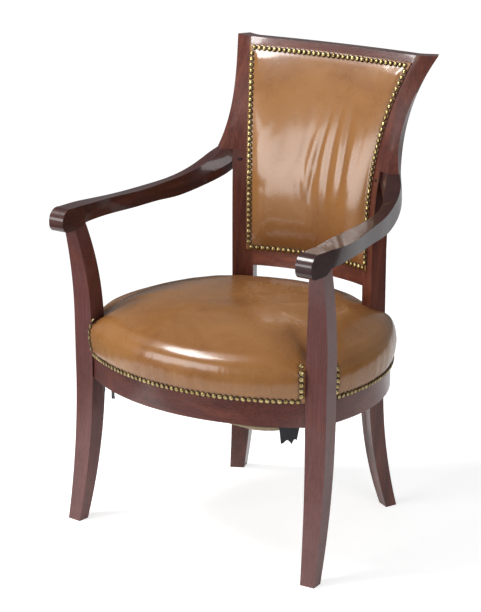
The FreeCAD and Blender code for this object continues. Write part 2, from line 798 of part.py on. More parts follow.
def paired_arcs(start, start_way, end, end_way):
    """Two arcs that leave one point and reach another in the given directions."""
    chord = end - start
    ways = start_way + end_way
    bend = 2 * (1 - start_way.dot(end_way))
    reach = (-chord.dot(ways) + math.sqrt(chord.dot(ways) ** 2 + bend * chord.dot(chord))) / bend
    corners = start + start_way * reach, end - end_way * reach
    joint = (corners[0] + corners[1]) * 0.5
    edges = []
    for near, corner, far in ((start, corners[0], joint), (joint, corners[1], end)):
        middle = (near + far) * 0.5
        half_chord, rise = (far - near).Length / 2, (corner - middle).Length
        sagitta = half_chord * math.tan(math.atan2(rise, half_chord) / 2)
        edges.append(arc(near, middle + (corner - middle).normalize() * sagitta, far))
    return edges


def spring_shape(height):
    edges = []
    for turn in range(SPRING_HALF_TURNS):
        start, start_way = spring_place(turn, height)
        end, end_way = spring_place(turn + 1, height)
        edges += paired_arcs(start, start_way, end, end_way)
    path = Part.Wire(edges)
    start, way = spring_place(0, height)
    ring = Part.Wire(Part.makeCircle(mm("spring_wire") / 2, start, way))
    return path.makePipeShell([ring], True, False)


def springs_shape():
    columns, rows = web_places()
    half = mm("spring_wire") / 2
    coils = []
    for column, x in enumerate(columns):
        for row, y in enumerate(rows):
            if (column + row) % 2:
                continue
            foot = web_height(x, y) + mm("web_thickness") + mm("fit_gap") * 1.5 + half
            top = mm("spring_top") - mm("fit_gap") - half
            coil = spring_shape(top - foot)
            coil.translate(Vector(x, y, foot))
            coils.append(coil)
    return Part.makeCompound(coils)


# The back between the stiles: pieces that follow one curved and leaning face.

def panel_edge(z):
    return rear_corners(z)[1].x


def panel_point(x, z, out):
    """A place on the back's hollow and leaning front, or that far out from it."""
    return Vector(x, hollow_y(x, rear_corners(z)[1]) - out, z)


def panel_bow(left, right, z, out):
    return arc(*(panel_point(x, z, out) for x in (left, (left + right) / 2, right)))


def slab(heights, reach, front, back):
    """A slab along the back's face between two depths, with ends at the reach's two distances."""
    sections = []
    for z in heights:
        left, right = reach(z)
        near, far = panel_bow(left, right, z, front), panel_bow(right, left, z, back)
        sides = [line(panel_point(x, z, a), panel_point(x, z, b))
                 for x, a, b in ((right, front, back), (left, back, front))]
        sections.append(Part.Wire([near, sides[0], far, sides[1]]))
    return loft(sections)


def steps(low, high, count):
    return [blend(low, high, step / count) for step in range(count + 1)]


def frame_reach(z):
    return -panel_edge(z), panel_edge(z)


def lower_back_rail_shape():
    low = mm("back_rail_bottom")
    return slab(steps(low, low + mm("back_rail_height"), 4), frame_reach, 0, -mm("back_frame_thickness"))


def crest_rail_shape():
    top = mm("chair_height")
    return slab(steps(top - mm("crest_height"), top, 3), frame_reach, 0, -mm("back_frame_thickness"))


def leather_heights():
    """Lower and upper edge of the back's leather, on the lower rail and on the crest."""
    return mm("back_rail_bottom") + mm("leather_low_margin"), mm("chair_height") - mm("leather_top_margin")


def back_space():
    """Heights between which the back's cloths are tacked."""
    inset = mm("back_border") + mm("back_roll") * BACK_CLOTH_SHARE
    low, high = leather_heights()
    return low + inset, high - inset


def back_webbing_shape():
    low, high = back_space()
    half, gap = mm("web_width") / 2, mm("fit_gap")
    straps = []
    for column in (-1, 0, 1):
        def reach(z, column=column):
            middle = column * panel_edge(z) / 2
            return middle - half, middle + half
        straps.append(slab(steps(low, high, 6), reach, gap + mm("back_web_thickness"), gap))
    return Part.makeCompound(straps)


def back_hessian_shape():
    low, high = back_space()
    near = 2 * mm("fit_gap") + mm("back_web_thickness")
    inset = mm("back_border") + mm("back_roll") / 4

    def reach(z):
        return -panel_edge(z) + inset, panel_edge(z) - inset

    return slab(steps(low, high, 6), reach, near + mm("hessian"), near)


def back_pad(border, crown, back, aside=0, ends=0, flange=False):
    """The back cushion's form between its rear and a border, a roll and a flat crown, all as distances in
    front of the frame. It is narrower than the leather's border by aside and shorter at its ends, and a
    flange, where it has one, runs on to the stiles' valleys."""
    low, high = leather_heights()
    low, high = low + ends, high - ends
    sections = []
    for share, puff in BACK_PUFF_SHARES:
        z = blend(low, high, share)
        outer = panel_edge(z) - mm("back_border") - aside
        shoulder = outer - mm("back_roll")
        middle = blend(outer, shoulder, ROLL_MIDDLE_SHARE)
        top = blend(border, crown, puff)
        swell = blend(border, top, ROLL_RISE_SHARE)
        front = [
            arc(*(panel_point(-x, z, out) for x, out in ((outer, border), (middle, swell), (shoulder, top)))),
            panel_bow(-shoulder, shoulder, z, top),
            arc(*(panel_point(x, z, out) for x, out in ((shoulder, top), (middle, swell), (outer, border))))]
        edge = outer
        if flange:
            edge = panel_edge(z)
            front = [panel_bow(-edge, -outer, z, border), *front, panel_bow(outer, edge, z, border)]
        sides = [line(panel_point(edge, z, border), panel_point(edge, z, back)),
                 line(panel_point(-edge, z, back), panel_point(-edge, z, border))]
        sections.append(Part.Wire([*front, sides[0], panel_bow(edge, -edge, z, back), sides[1]]))
    return loft(sections)


def back_leather_shape():
    gap, leather, puff = mm("fit_gap"), mm("leather"), mm("back_puff")
    outside = back_pad(gap + leather, puff, gap, flange=True)
    return outside.cut(back_pad(gap, puff - leather, -mm("overrun"), leather / 2, 2 * leather))


def back_stuffing_shape():
    gap = mm("fit_gap")
    rear = 3 * gap + mm("back_web_thickness") + mm("hessian")
    roll, border = mm("back_roll"), mm("back_border")
    crown = mm("back_puff") - mm("leather") - gap
    return back_pad(rear + gap, crown, rear, roll / 4, border + roll * BACK_CLOTH_SHARE)


def outside_leather_shape():
    near = -mm("back_frame_thickness") - mm("fit_gap")
    heights = steps(*leather_heights(), 8)
    return slab(heights, frame_reach, near, near - mm("leather"))


# Nails: domes set close along the leather's edges.

def nail(place, outwards):
    """A dome that stands on a place and points outwards."""
    radius, height = mm("nail_radius"), mm("nail_height")
    ball = (radius ** 2 + height ** 2) / (2 * height)
    cut_off = math.degrees(math.asin((ball - height) / ball))
    return Part.makeSphere(ball, place - outwards * (ball - height), outwards, cut_off, 90, 360)


def nails_along(curve, ends, outwards):
    """Nails one pitch apart on a curve given by a share of its length, from end to end."""
    samples = 60
    points = [curve(blend(ends[0], ends[1], step / samples)) for step in range(samples + 1)]
    reach = sum((after - before).Length for before, after in zip(points, points[1:]))
    count = max(1, round(reach / mm("nail_pitch")))
    return [nail(curve(share), outwards(share))
            for share in (blend(ends[0], ends[1], (step + 0.5) / count) for step in range(count))]


def seat_skin(z):
    """How far the seat leather's side stands out beyond its lower edge at a height, and its slope there."""
    bottom, shoulder = mm("seat_leather_bottom"), mm("seat_shoulder")
    at = (z - bottom) / (shoulder - bottom)
    spans = zip(SEAT_SIDE_SHARES, SEAT_SIDE_SHARES[1:])
    (low, out), (high, next_out) = next(span for span in spans if at <= span[1][0])
    rise = (next_out - out) / (high - low)
    return (out + rise * (at - low)) * mm("seat_bulge"), rise * mm("seat_bulge") / (shoulder - bottom)


def side_nail(bow, way, z):
    """A nail on the seat leather's side, square to the leather there."""
    centre, radius = bow
    out, slope = seat_skin(z)
    return nail(centre + way * (radius + out + mm("fit_gap")) + UP * z, (way - UP * slope).normalize())


def bow_nails(bow, start, end, z):
    """Nails round a bow of the seat between two angles."""
    centre, radius = bow

    def way(share):
        angle = blend(start, end, share)
        return Vector(math.cos(angle), math.sin(angle), 0)

    count = round(abs(end - start) * radius / mm("nail_pitch"))
    return [side_nail(bow, way((step + 0.5) / count), z) for step in range(count)]


def bow_angle(bow, x=None, y=None, front=True):
    centre, radius = bow
    if y is None:
        rise = math.sqrt(radius ** 2 - (x - centre.x) ** 2)
        return math.atan2(-rise if front else rise, x - centre.x)
    return math.atan2(y - centre.y, math.sqrt(radius ** 2 - (y - centre.y) ** 2))


def seat_nails_shape():
    skin = mm("fit_gap") + mm("leather")
    front, side, back = bows(skin)
    line_z = mm("seat_leather_bottom") + mm("nail_radius") * 0.7
    inside = mm("front_leg_x") - mm("front_leg_width") / 2 - mm("nail_radius") - mm("fit_gap")
    skew = mm("front_leg_width") / 2 * math.sin(math.radians(FRONT_LEG_TURN))
    behind = mm("front_leg_face_y") + mm("front_leg_depth") + mm("nail_radius") + skew + 2 * mm("fit_gap")
    rear = rear_corners(mm("rail_bottom"))
    before = rear[2].y - mm("nail_radius")
    far = rear[4].x - mm("nail_radius") * 2
    made = bow_nails(front, bow_angle(front, x=-inside), bow_angle(front, x=inside), line_z)
    made += bow_nails(back, bow_angle(back, x=far, front=False), bow_angle(back, x=-far, front=False), line_z)
    rows = bow_nails(side, bow_angle(side, y=behind), bow_angle(side, y=before), line_z)
    top = blend(mm("seat_leather_bottom"), mm("seat_shoulder"), NAIL_ROW_SHARE)
    aside = behind + mm("nail_row_margin")
    for bow, angle in ((front, bow_angle(front, x=inside)), (side, bow_angle(side, y=aside))):
        z = line_z + mm("nail_pitch")
        while z < top:
            rows.append(side_nail(bow, Vector(math.cos(angle), math.sin(angle), 0), z))
            z += mm("nail_pitch")
    return Part.makeCompound(made + rows + [mirrored(one, -1) for one in rows])


def panel_frame_nails(out, facing, low, high, inset):
    """Nails round the back's cloth: up both sides and along its foot and its top."""
    def normal(x, z):
        step = mm("nail_radius")
        across = panel_point(x + step, z, out) - panel_point(x - step, z, out)
        upwards = panel_point(x, z + step, out) - panel_point(x, z - step, out)
        return across.cross(upwards).normalize() * facing

    made = []
    for z in (low + inset, high - inset):
        reach = panel_edge(z) - inset
        made += nails_along(
            lambda x, z=z: panel_point(x, z, out), (-reach, reach), lambda x, z=z: normal(x, z))
    pitch = mm("nail_pitch")
    for sign in SIDES.values():
        def at(z, sign=sign):
            return sign * (panel_edge(z) - inset)
        made += nails_along(
            lambda z, at=at: panel_point(at(z), z, out), (low + inset + pitch / 2, high - inset - pitch / 2),
            lambda z, at=at: normal(at(z), z))
    return Part.makeCompound(made)


def back_nails_shape():
    out = 2 * mm("fit_gap") + mm("leather")
    return panel_frame_nails(out, 1, *leather_heights(), mm("nail_radius") + 2 * mm("fit_gap"))


def outside_nails_shape():
    low, high = leather_heights()
    out = -mm("back_frame_thickness") - 3 * mm("fit_gap") - mm("leather")
    inset = rear_corners(low)[1].x - rear_corners(low)[4].x
    return panel_frame_nails(out, -1, low, high, inset + 2 * mm("nail_radius"))


# Dowels, as pairs set in the joints. Each place is a point in the joint and the direction of the rail there.

def front_joint_place():
    bow = (bows(-mm("rail_thickness") / 2))[0]
    x = mm("front_leg_x") - mm("front_leg_width") / 2
    angle = bow_angle(bow, x=x)
    out = Vector(math.cos(angle), math.sin(angle), 0)
    return bow[0] + out * bow[1], Vector(-out.y, out.x, 0)


def seat_joint_places():
    """The four joints of the seat frame on the right: point, direction and step of height."""
    half = mm("rail_thickness") / 2
    side, back = bows(-half)[1:]
    leg_back = mm("front_leg_face_y") + mm("front_leg_depth")
    rear = rear_corners(mm("rail_bottom"))
    places = [(*front_joint_place(), -1)]
    angle = bow_angle(side, y=leg_back)
    way = Vector(math.cos(angle), math.sin(angle), 0)
    places.append((side[0] + way * (side[1] + half / 4), Vector(0, 1, 0), 1))
    angle = bow_angle(side, y=(rear[2].y + rear[3].y) / 2)
    way = Vector(math.cos(angle), math.sin(angle), 0)
    places.append((side[0] + way * side[1], Vector(-way.y, way.x, 0), 1))
    angle = bow_angle(back, x=(rear[0].x + rear[4].x) / 2, front=False)
    way = Vector(math.cos(angle), math.sin(angle), 0)
    places.append((back[0] + way * back[1], Vector(-way.y, way.x, 0), -1))
    return places


def dowel_pair(joint, middle, extra):
    """Two dowels one above the other, or their bores where extra is the clearance. The joint gives the
    place and the direction of a dowel at a height."""
    reach = mm("dowel_length") + 2 * extra
    made = []
    for step in (-1, 1):
        place, way = joint(middle + step * mm("dowel_spacing") / 2)
        made.append(rod(mm("dowel_radius") + extra, place - way * (reach / 2), way, reach))
    return made


def seat_dowels(extra):
    middle = mm("rail_bottom") + mm("rail_height") / 2
    made = []
    for place, way, step in seat_joint_places():
        made += dowel_pair(
            lambda z, place=place, way=way: (Vector(place.x, place.y, z), way),
            middle + step * mm("dowel_step") / 2, extra)
    return Part.makeCompound(made + [mirrored(one, -1) for one in made])


def back_joint(z):
    """Where the back's rails meet a stile at a height, and the rail's direction there."""
    corners = rear_corners(z)
    x = (corners[0].x + corners[4].x) / 2
    step, depth = mm("dowel_radius"), -mm("back_frame_thickness") / 2
    way = panel_point(x + step, z, depth) - panel_point(x - step, z, depth)
    return panel_point(x, z, depth), way.normalize()


def back_dowels(extra):
    made = dowel_pair(back_joint, mm("back_rail_bottom") + mm("back_rail_height") / 2, extra)
    made += dowel_pair(back_joint, mm("chair_height") - mm("crest_height") / 2, extra)
    return Part.makeCompound(made + [mirrored(one, -1) for one in made])


def arm_dowels(extra):
    """One upright dowel on each side, from the front post into the arm's nose."""
    reach = mm("dowel_length") + 2 * extra
    y = mm("front_leg_face_y") - mm("front_post_reach") + mm("front_post_depth") / 2 + mm("dowel_radius") / 2
    z = mm("arm_underside") - reach * 0.55
    post = Vector(mm("arm_nose_x"), y, z)
    return Part.makeCompound([rod(mm("dowel_radius") + extra, Vector(sign * post.x, y, z), UP, reach)
                              for sign in SIDES.values()])


# Screws. A place is where a screw's head meets the wood, and a way is the direction it is driven.

def screw(place, way, reach, extra, sunk):
    head = rod(mm("screw_head_radius") + extra, place + way * sunk, way, mm("screw_head_height"))
    shank_start = place + way * (sunk + mm("screw_head_height"))
    return head.fuse(rod(mm("screw_radius") + extra, shank_start, way, reach + extra))


def arm_screw_place():
    z = mm("arm_joint") - mm("plug_radius") * 6
    corners = rear_corners(z)
    middle = blend(corners[1], corners[2], 0.5)
    return middle, Vector(1, 0, 0)


def arm_screws(extra):
    place, way = arm_screw_place()
    one = screw(place, way, mm("arm_screw_length"), extra, mm("plug_length") * 2)
    return Part.makeCompound([one, mirrored(one, -1)])


def arm_plugs(extra):
    place, way = arm_screw_place()
    gap = mm("fit_gap")
    start = place - way * mm("plug_length")
    one = rod(mm("plug_radius") + extra, start, way, mm("plug_length") * 3 - gap)
    return Part.makeCompound([one, mirrored(one, -1)])


# Corner blocks: glued in the seat frame's corners, each screwed to its leg.

def block_corners(rear):
    """Plan of a right-hand block: a corner inside the leg and one in each of its two rails."""
    reach = mm("block_reach")
    half = mm("rail_thickness") / 2
    front, side, back = bows(-half)
    if rear:
        corners = rear_corners(mm("rail_bottom"))
        leg = (corners[0] + corners[3]) * 0.5
        side_y, x = corners[2].y - reach * 1.3, corners[0].x - reach * 1.3
        y = back[0].y + math.sqrt(back[1] ** 2 - x ** 2)
    else:
        leg = Vector(mm("front_leg_x"), mm("front_leg_face_y") + mm("front_leg_depth") / 2, 0)
        side_y, x = leg.y + reach * 1.3, leg.x - reach * 1.3
        y = front[0].y - math.sqrt(front[1] ** 2 - x ** 2)
    side_x = side[0].x + math.sqrt(side[1] ** 2 - (side_y - side[0].y) ** 2)
    return Vector(leg.x, leg.y, 0), Vector(side_x, side_y, 0), Vector(x, y, 0)


def block_shape(rear):
    high = mm("block_height")
    rise = UP * (mm("rail_bottom") + (mm("rail_height") - high) / 2)
    return Part.Face(polygon([corner + rise for corner in block_corners(rear)])).extrude(UP * high)


def block_screws(extra):
    middle_z = mm("rail_bottom") + mm("rail_height") / 2
    made = []
    for rear in (False, True):
        leg, side, other = block_corners(rear)
        place = (side + other) * 0.5
        way = (leg - place).normalize()
        one = screw(Vector(place.x, place.y, middle_z) - way * extra, way, mm("block_screw_length"), extra, 0)
        made += [one, mirrored(one, -1)]
    return Part.makeCompound(made)


# Under the rails: shreds of the bottoming cloth and a scrap of hessian, still tacked along one edge.

def cloth_shreds_shape():
    thick = mm("cloth_thickness")
    top = mm("rail_bottom") - mm("fit_gap")
    inset = bows(-mm("rail_thickness") / 4)
    made = []
    for order, angle, width, fall in CLOTH_SHREDS:
        centre, radius = inset[order]
        turn = math.radians(angle)
        out = Vector(math.cos(turn), math.sin(turn), 0)
        along = Vector(-out.y, out.x, 0)
        drop = mm("cloth_drop") * fall
        middle = centre + out * radius + UP * top
        half = along * (mm("cloth_drop") * width / 2)
        corners = [middle - half, middle + half, middle + half * 0.7 - UP * drop,
                   middle + half * 0.1 - UP * (drop * 0.75), middle - half * 0.75 - UP * drop]
        made.append(Part.Face(polygon(corners)).extrude(out * thick))
    return Part.makeCompound(made)


def hessian_scrap_shape():
    """A strip tacked under the front rail and a web's end, hanging behind the rail as a shallow gutter."""
    centre, radius = bows(-mm("rail_thickness") / 2)[0]
    top = mm("rail_bottom") - mm("web_thickness") - 2 * mm("fit_gap")
    thick, wide = mm("hessian"), mm("scrap_width")
    sections = []
    for share, fall in SCRAP_SHARES:
        angle = math.radians(blend(*SCRAP_ENDS, share))
        out = Vector(math.cos(angle), math.sin(angle), 0)

        def place(away, low, out=out):
            return centre + out * (radius - away) + UP * (top - low)

        deep = mm("scrap_sag") * fall
        edge = deep * SCRAP_EDGE_SHARE
        upper = arc(place(0, 0), place(wide / 2, deep), place(wide, edge))
        lower = arc(place(wide, edge + thick), place(wide / 2, deep + thick), place(0, thick))
        ends = line(place(wide, edge), place(wide, edge + thick)), line(place(0, thick), place(0, 0))
        sections.append(Part.Wire([upper, ends[0], lower, ends[1]]))
    return loft(sections)


# The parts put together.

def build():
    bores = feature("seat_rail_dowel_bores", seat_dowels(mm("dowel_clearance")))
    back_bores = feature("back_dowel_bores", back_dowels(mm("dowel_clearance")))
    post_bores = feature("arm_dowel_bores", arm_dowels(mm("dowel_clearance")))
    screw_bores = feature("arm_screw_bores", arm_screws(mm("dowel_clearance")))
    plug_bores = feature("arm_plug_bores", arm_plugs(mm("dowel_clearance")))
    block_bores = feature("block_screw_bores", block_screws(mm("dowel_clearance")))
    legs = []
    for side, sign in SIDES.items():
        front = front_leg_blank(side, sign)
        rear = feature(f"rear_leg_{side}_blank", mirrored(rear_leg_shape(), sign))
        arm_blank = feature(f"arm_{side}_blank", mirrored(arm_shape(), sign))
        legs += [front, rear]
        arm = cut(f"arm_{side}", arm_blank, rear, post_bores, screw_bores)
        keep(cut(f"front_leg_{side}", front, arm_blank, bores, post_bores, block_bores), f"front_leg_{side}")
        keep(cut(f"rear_leg_{side}", rear, bores, back_bores, screw_bores, plug_bores, block_bores),
             f"rear_leg_{side}")
        keep(arm, f"arm_{side}")
    front_rail, back_rail = front_rail_blank(), rear_rail_blank()
    side_rails = {side: side_rail_blank(side, sign) for side, sign in SIDES.items()}
    keep(cut("seat_rail_front", front_rail, *legs, bores), "seat_rail_front")
    keep(cut("seat_rail_back", back_rail, *legs, bores), "seat_rail_back")
    for side, rail in side_rails.items():
        keep(cut(f"seat_rail_{side}", rail, *legs, bores), f"seat_rail_{side}")
    for rear, where in ((False, "front"), (True, "rear")):
        for side, sign in SIDES.items():
            label = f"corner_block_{where}_{side}"
            blank = feature(f"{label}_blank", mirrored(block_shape(rear), sign))
            keep(cut(label, blank, *legs, front_rail, back_rail, side_rails[side], bores, block_bores), label)
    lower = feature("lower_back_rail_blank", lower_back_rail_shape())
    keep(cut("lower_back_rail", lower, *legs, back_bores), "lower_back_rail")
    crest = feature("crest_rail_blank", crest_rail_shape())
    keep(cut("crest_rail", crest, *legs, back_bores), "crest_rail")
    for label, shape in (
            ("seat_rail_dowels", seat_dowels(0)), ("back_dowels", back_dowels(0)),
            ("arm_dowels", arm_dowels(0)), ("arm_screws", arm_screws(0)),
            ("corner_block_screws", block_screws(0)),
            ("seat_springs", springs_shape()), ("spring_hessian", spring_hessian_shape()),
            ("seat_stuffing", seat_stuffing_shape()), ("seat_leather", seat_leather_shape()),
            ("seat_nails", seat_nails_shape()), ("bottoming_cloth_remnants", cloth_shreds_shape()),
            ("bottom_hessian_scrap", hessian_scrap_shape()),
            ("back_webbing", back_webbing_shape()), ("back_hessian", back_hessian_shape()),
            ("back_stuffing", back_stuffing_shape()), ("back_leather", back_leather_shape()),
            ("back_nails", back_nails_shape())):
        keep(feature(f"{label}_piece", shape), label)
    straps = webbing()
    keep(feature("webbing_long", Part.makeCompound(straps[True])), "seat_webbing_long")
    keep(feature("webbing_cross", Part.makeCompound(straps[False])), "seat_webbing_cross")
    plugs = feature("arm_plug_blanks", arm_plugs(0))
    outer = feature("outside_leather_blank", outside_leather_shape())
    keep(cut("outside_back_leather", outer, *legs), "outside_back_leather")
    keep(feature("outside_nails", outside_nails_shape()), "outside_back_nails")
    common = document.addObject("Part::MultiCommon", "arm_plugs_trimmed")
    stiles = document.addObject("Part::MultiFuse", "stiles_for_plugs")
    stiles.Shapes = [legs[1], legs[3]]
    common.Shapes = [plugs, stiles]
    keep(common, "arm_screw_plugs")


def check():
    """Stop before anything is written where an object failed or a sub-part isn't sound."""
    document.recompute()
    for thing in document.Objects:
        if "Invalid" in thing.State or "Error" in thing.State:
            raise RuntimeError(f"{thing.Name} failed: {thing.State}")
    for part in sub_parts:
        if part.Shape.isNull() or not part.Shape.isValid():
            raise RuntimeError(f"{part.Label} has no sound shape")


def write():
    os.makedirs("parts", exist_ok=True)
    for part in sub_parts:
        part.Shape.exportStep(f"parts/{part.Label}.step")


build()
check()
write()
print(len(sub_parts), "sub-parts")
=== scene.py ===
import math
from contextlib import contextmanager

import bmesh
import bpy
from bpy.props import FloatProperty, FloatVectorProperty, IntProperty, PointerProperty
from mathutils import Matrix, Vector, kdtree, noise
from mathutils.bvhtree import BVHTree


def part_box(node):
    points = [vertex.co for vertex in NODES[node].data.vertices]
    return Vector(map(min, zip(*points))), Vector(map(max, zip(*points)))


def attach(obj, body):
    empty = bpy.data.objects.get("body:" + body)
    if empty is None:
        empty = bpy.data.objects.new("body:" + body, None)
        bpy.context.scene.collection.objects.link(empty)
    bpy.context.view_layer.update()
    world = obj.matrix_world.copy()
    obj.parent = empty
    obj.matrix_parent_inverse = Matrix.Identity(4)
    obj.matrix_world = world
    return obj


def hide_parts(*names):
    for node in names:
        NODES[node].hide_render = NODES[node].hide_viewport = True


bl_info = {
    "name": "Mahogany Armchair",
    "version": (1, 0, 0),
    "blender": (4, 5, 0),
    "location": "3D View > Sidebar > Armchair",
    "description": "Dresses the armchair's frame: timber, leather cushions, brass nails, springs and webbing",
    "category": "Add Mesh",
}

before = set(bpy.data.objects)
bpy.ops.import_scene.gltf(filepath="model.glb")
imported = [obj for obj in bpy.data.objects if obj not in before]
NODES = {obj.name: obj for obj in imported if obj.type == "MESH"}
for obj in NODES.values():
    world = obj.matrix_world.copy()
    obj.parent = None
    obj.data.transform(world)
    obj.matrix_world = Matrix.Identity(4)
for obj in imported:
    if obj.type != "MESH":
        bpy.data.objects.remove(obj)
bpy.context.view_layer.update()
UP = Vector((0, 0, 1))
FAR = 9.0


def clamped(value):
    return max(0.0, min(1.0, value))


def waver(*place):
    """Smooth noise at a place."""
    return noise.noise(Vector(place))


# Sizes and colours that a user would change

def colour_of(name, text, default):
    return FloatVectorProperty(
        name=name, description=text, subtype="COLOR", size=3, min=0, max=1, default=default)


def length_of(name, text, least, most, default):
    return FloatProperty(name=name, description=text, unit="LENGTH", min=least, max=most, default=default)


class ArmchairTimber(bpy.types.PropertyGroup):
    dark: colour_of("Dark figure", "Colour of the mahogany's darkest figure", (0.034, 0.0085, 0.0065))
    body: colour_of("Body", "Colour of most of the polished mahogany", (0.108, 0.026, 0.016))
    light: colour_of("Light figure", "Colour of the mahogany's lightest ribbons", (0.235, 0.066, 0.036))
    # The colour of a painted sheen: a greyer mauve that stands for reflected light on the front of the frame.
    painted_sheen: colour_of("Faded", "Greyer mauve that the front of the frame has faded to", (0.150, 0.050, 0.046))
    arris: length_of("Arris", "Width of the rubbed edges", 0, 0.004, 0.0012)


class ArmchairLeather(bpy.types.PropertyGroup):
    tan: colour_of("Tan", "Colour of the leather where it is cleanest", (0.345, 0.152, 0.044))
    brown: colour_of("Brown", "Colour of the leather where handling has darkened it", (0.232, 0.088, 0.022))
    pressure: FloatProperty(
        name="Pressure", description="Pressure that swells a cushion inside its leather", min=0, max=20, default=4)
    swell_seat: length_of("Seat swell", "Furthest that a point of the seat moves while it swells", 0, 0.01, 0.004)
    swell_back: length_of("Back swell", "Furthest that a point of the back moves while it swells", 0, 0.01, 0.003)
    pull: length_of("Pull", "Height of the pull folds in the back", 0, 0.006, 0.0022)


class ArmchairNails(bpy.types.PropertyGroup):
    radius: length_of("Radius", "Radius of a nail's head", 0.001, 0.02, 0.0053)
    height: length_of("Height", "Height of a nail's dome", 0.0005, 0.01, 0.0034)
    wander: FloatProperty(
        name="Wander", description="How far a hand-driven nail may lean", subtype="ANGLE", min=0, max=0.5,
        default=math.radians(9))
    seed: IntProperty(name="Seed", description="Seed of the nails' small differences", default=11)


class ArmchairStudio(bpy.types.PropertyGroup):
    key: FloatProperty(name="Key", description="Power of the soft lamp above on the left", min=0, default=66)
    front: FloatProperty(name="Front", description="Power of the two soft lamps in front", min=0, default=40)
    sky: FloatProperty(name="Sky", description="Strength of the plain light from all round", min=0, default=0.22)


# Shader maths

class Value:
    """A shader socket whose maths is written as an expression."""

    def __init__(self, finish, socket):
        self.finish = finish
        self.socket = socket

    def maths(self, operation, *values):
        return self.finish.node("ShaderNodeMath", {"operation": operation}, *values)

    def __add__(self, other):
        return self.maths("ADD", self, other)

    __radd__ = __add__

    def __sub__(self, other):
        return self.maths("SUBTRACT", self, other)

    def __rsub__(self, other):
        return self.maths("SUBTRACT", other, self)

    def __mul__(self, other):
        return self.maths("MULTIPLY", self, other)

    def rise(self, low, high):
        """0 below one value and 1 above the other, with a smooth rise between."""
        return self.finish.node(
            "ShaderNodeMapRange", {"interpolation_type": "SMOOTHSTEP"}, self, low, high, 0.0, 1.0)


class Finish:
    """A material in the making."""

    def __init__(self, name):
        self.material = bpy.data.materials.new(name)
        self.material.use_nodes = True
        self.tree = self.material.node_tree
        self.tree.nodes.clear()

    def node(self, kind, settings=None, *values, out=0, **named):
        """Adds a node: its settings first, then its sockets by order and by name."""
        made = self.tree.nodes.new(kind)
        for key, value in (settings or {}).items():
            if key == "stops":
                points = made.color_ramp.elements
                while len(points) < len(value):
                    points.new(0.5)
                for point, (place, colour) in zip(points, value):
                    point.position, point.color = place, colour
            else:
                setattr(made, key, value)
        sockets = [*enumerate(values), *((key.replace("_", " "), value) for key, value in named.items())]
        for key, value in sockets:
            if isinstance(value, Value):
                self.tree.links.new(value.socket, made.inputs[key])
            elif value is not None:
                made.inputs[key].default_value = value
        return Value(self, made.outputs[out]) if len(made.outputs) else None

    def place(self):
        return self.node("ShaderNodeTexCoord", out="Object")

    def attribute(self, name, out="Fac"):
        return self.node("ShaderNodeAttribute", {"attribute_name": name}, out=out)

    def scaled(self, vector, scale):
        return self.node("ShaderNodeVectorMath", {"operation": "MULTIPLY"}, vector, scale)

    def part(self, vector, axis):
        return self.node("ShaderNodeSeparateXYZ", None, vector, out=axis)

    def noise(self, vector, scale, detail=3.0, rough=0.5, bend=0.0):
        return self.node(
            "ShaderNodeTexNoise", None, Vector=vector, Scale=scale, Detail=detail, Roughness=rough, Distortion=bend)

    def cells(self, vector, scale):
        return self.node("ShaderNodeTexVoronoi", None, Vector=vector, Scale=scale)

    def mix(self, share, one, other):
        unused = [None] * 5
        return self.node("ShaderNodeMix", {"data_type": "RGBA"}, share, *unused, one, other, out=2)

    def ramp(self, share, stops):
        return self.node("ShaderNodeValToRGB", {"stops": stops}, share)

    def bump(self, height, strength, distance):
        return self.node("ShaderNodeBump", None, Strength=strength, Distance=distance, Height=height)

    def done(self, **sockets):
        shader = self.node("ShaderNodeBsdfPrincipled", None, **sockets)
        self.node("ShaderNodeOutputMaterial", None, shader)
        return self.material


def rgba(colour):
    return (*colour[:3], 1.0)


def blended(one, other, share):
    return tuple(a + (b - a) * share for a, b in zip(one, other))


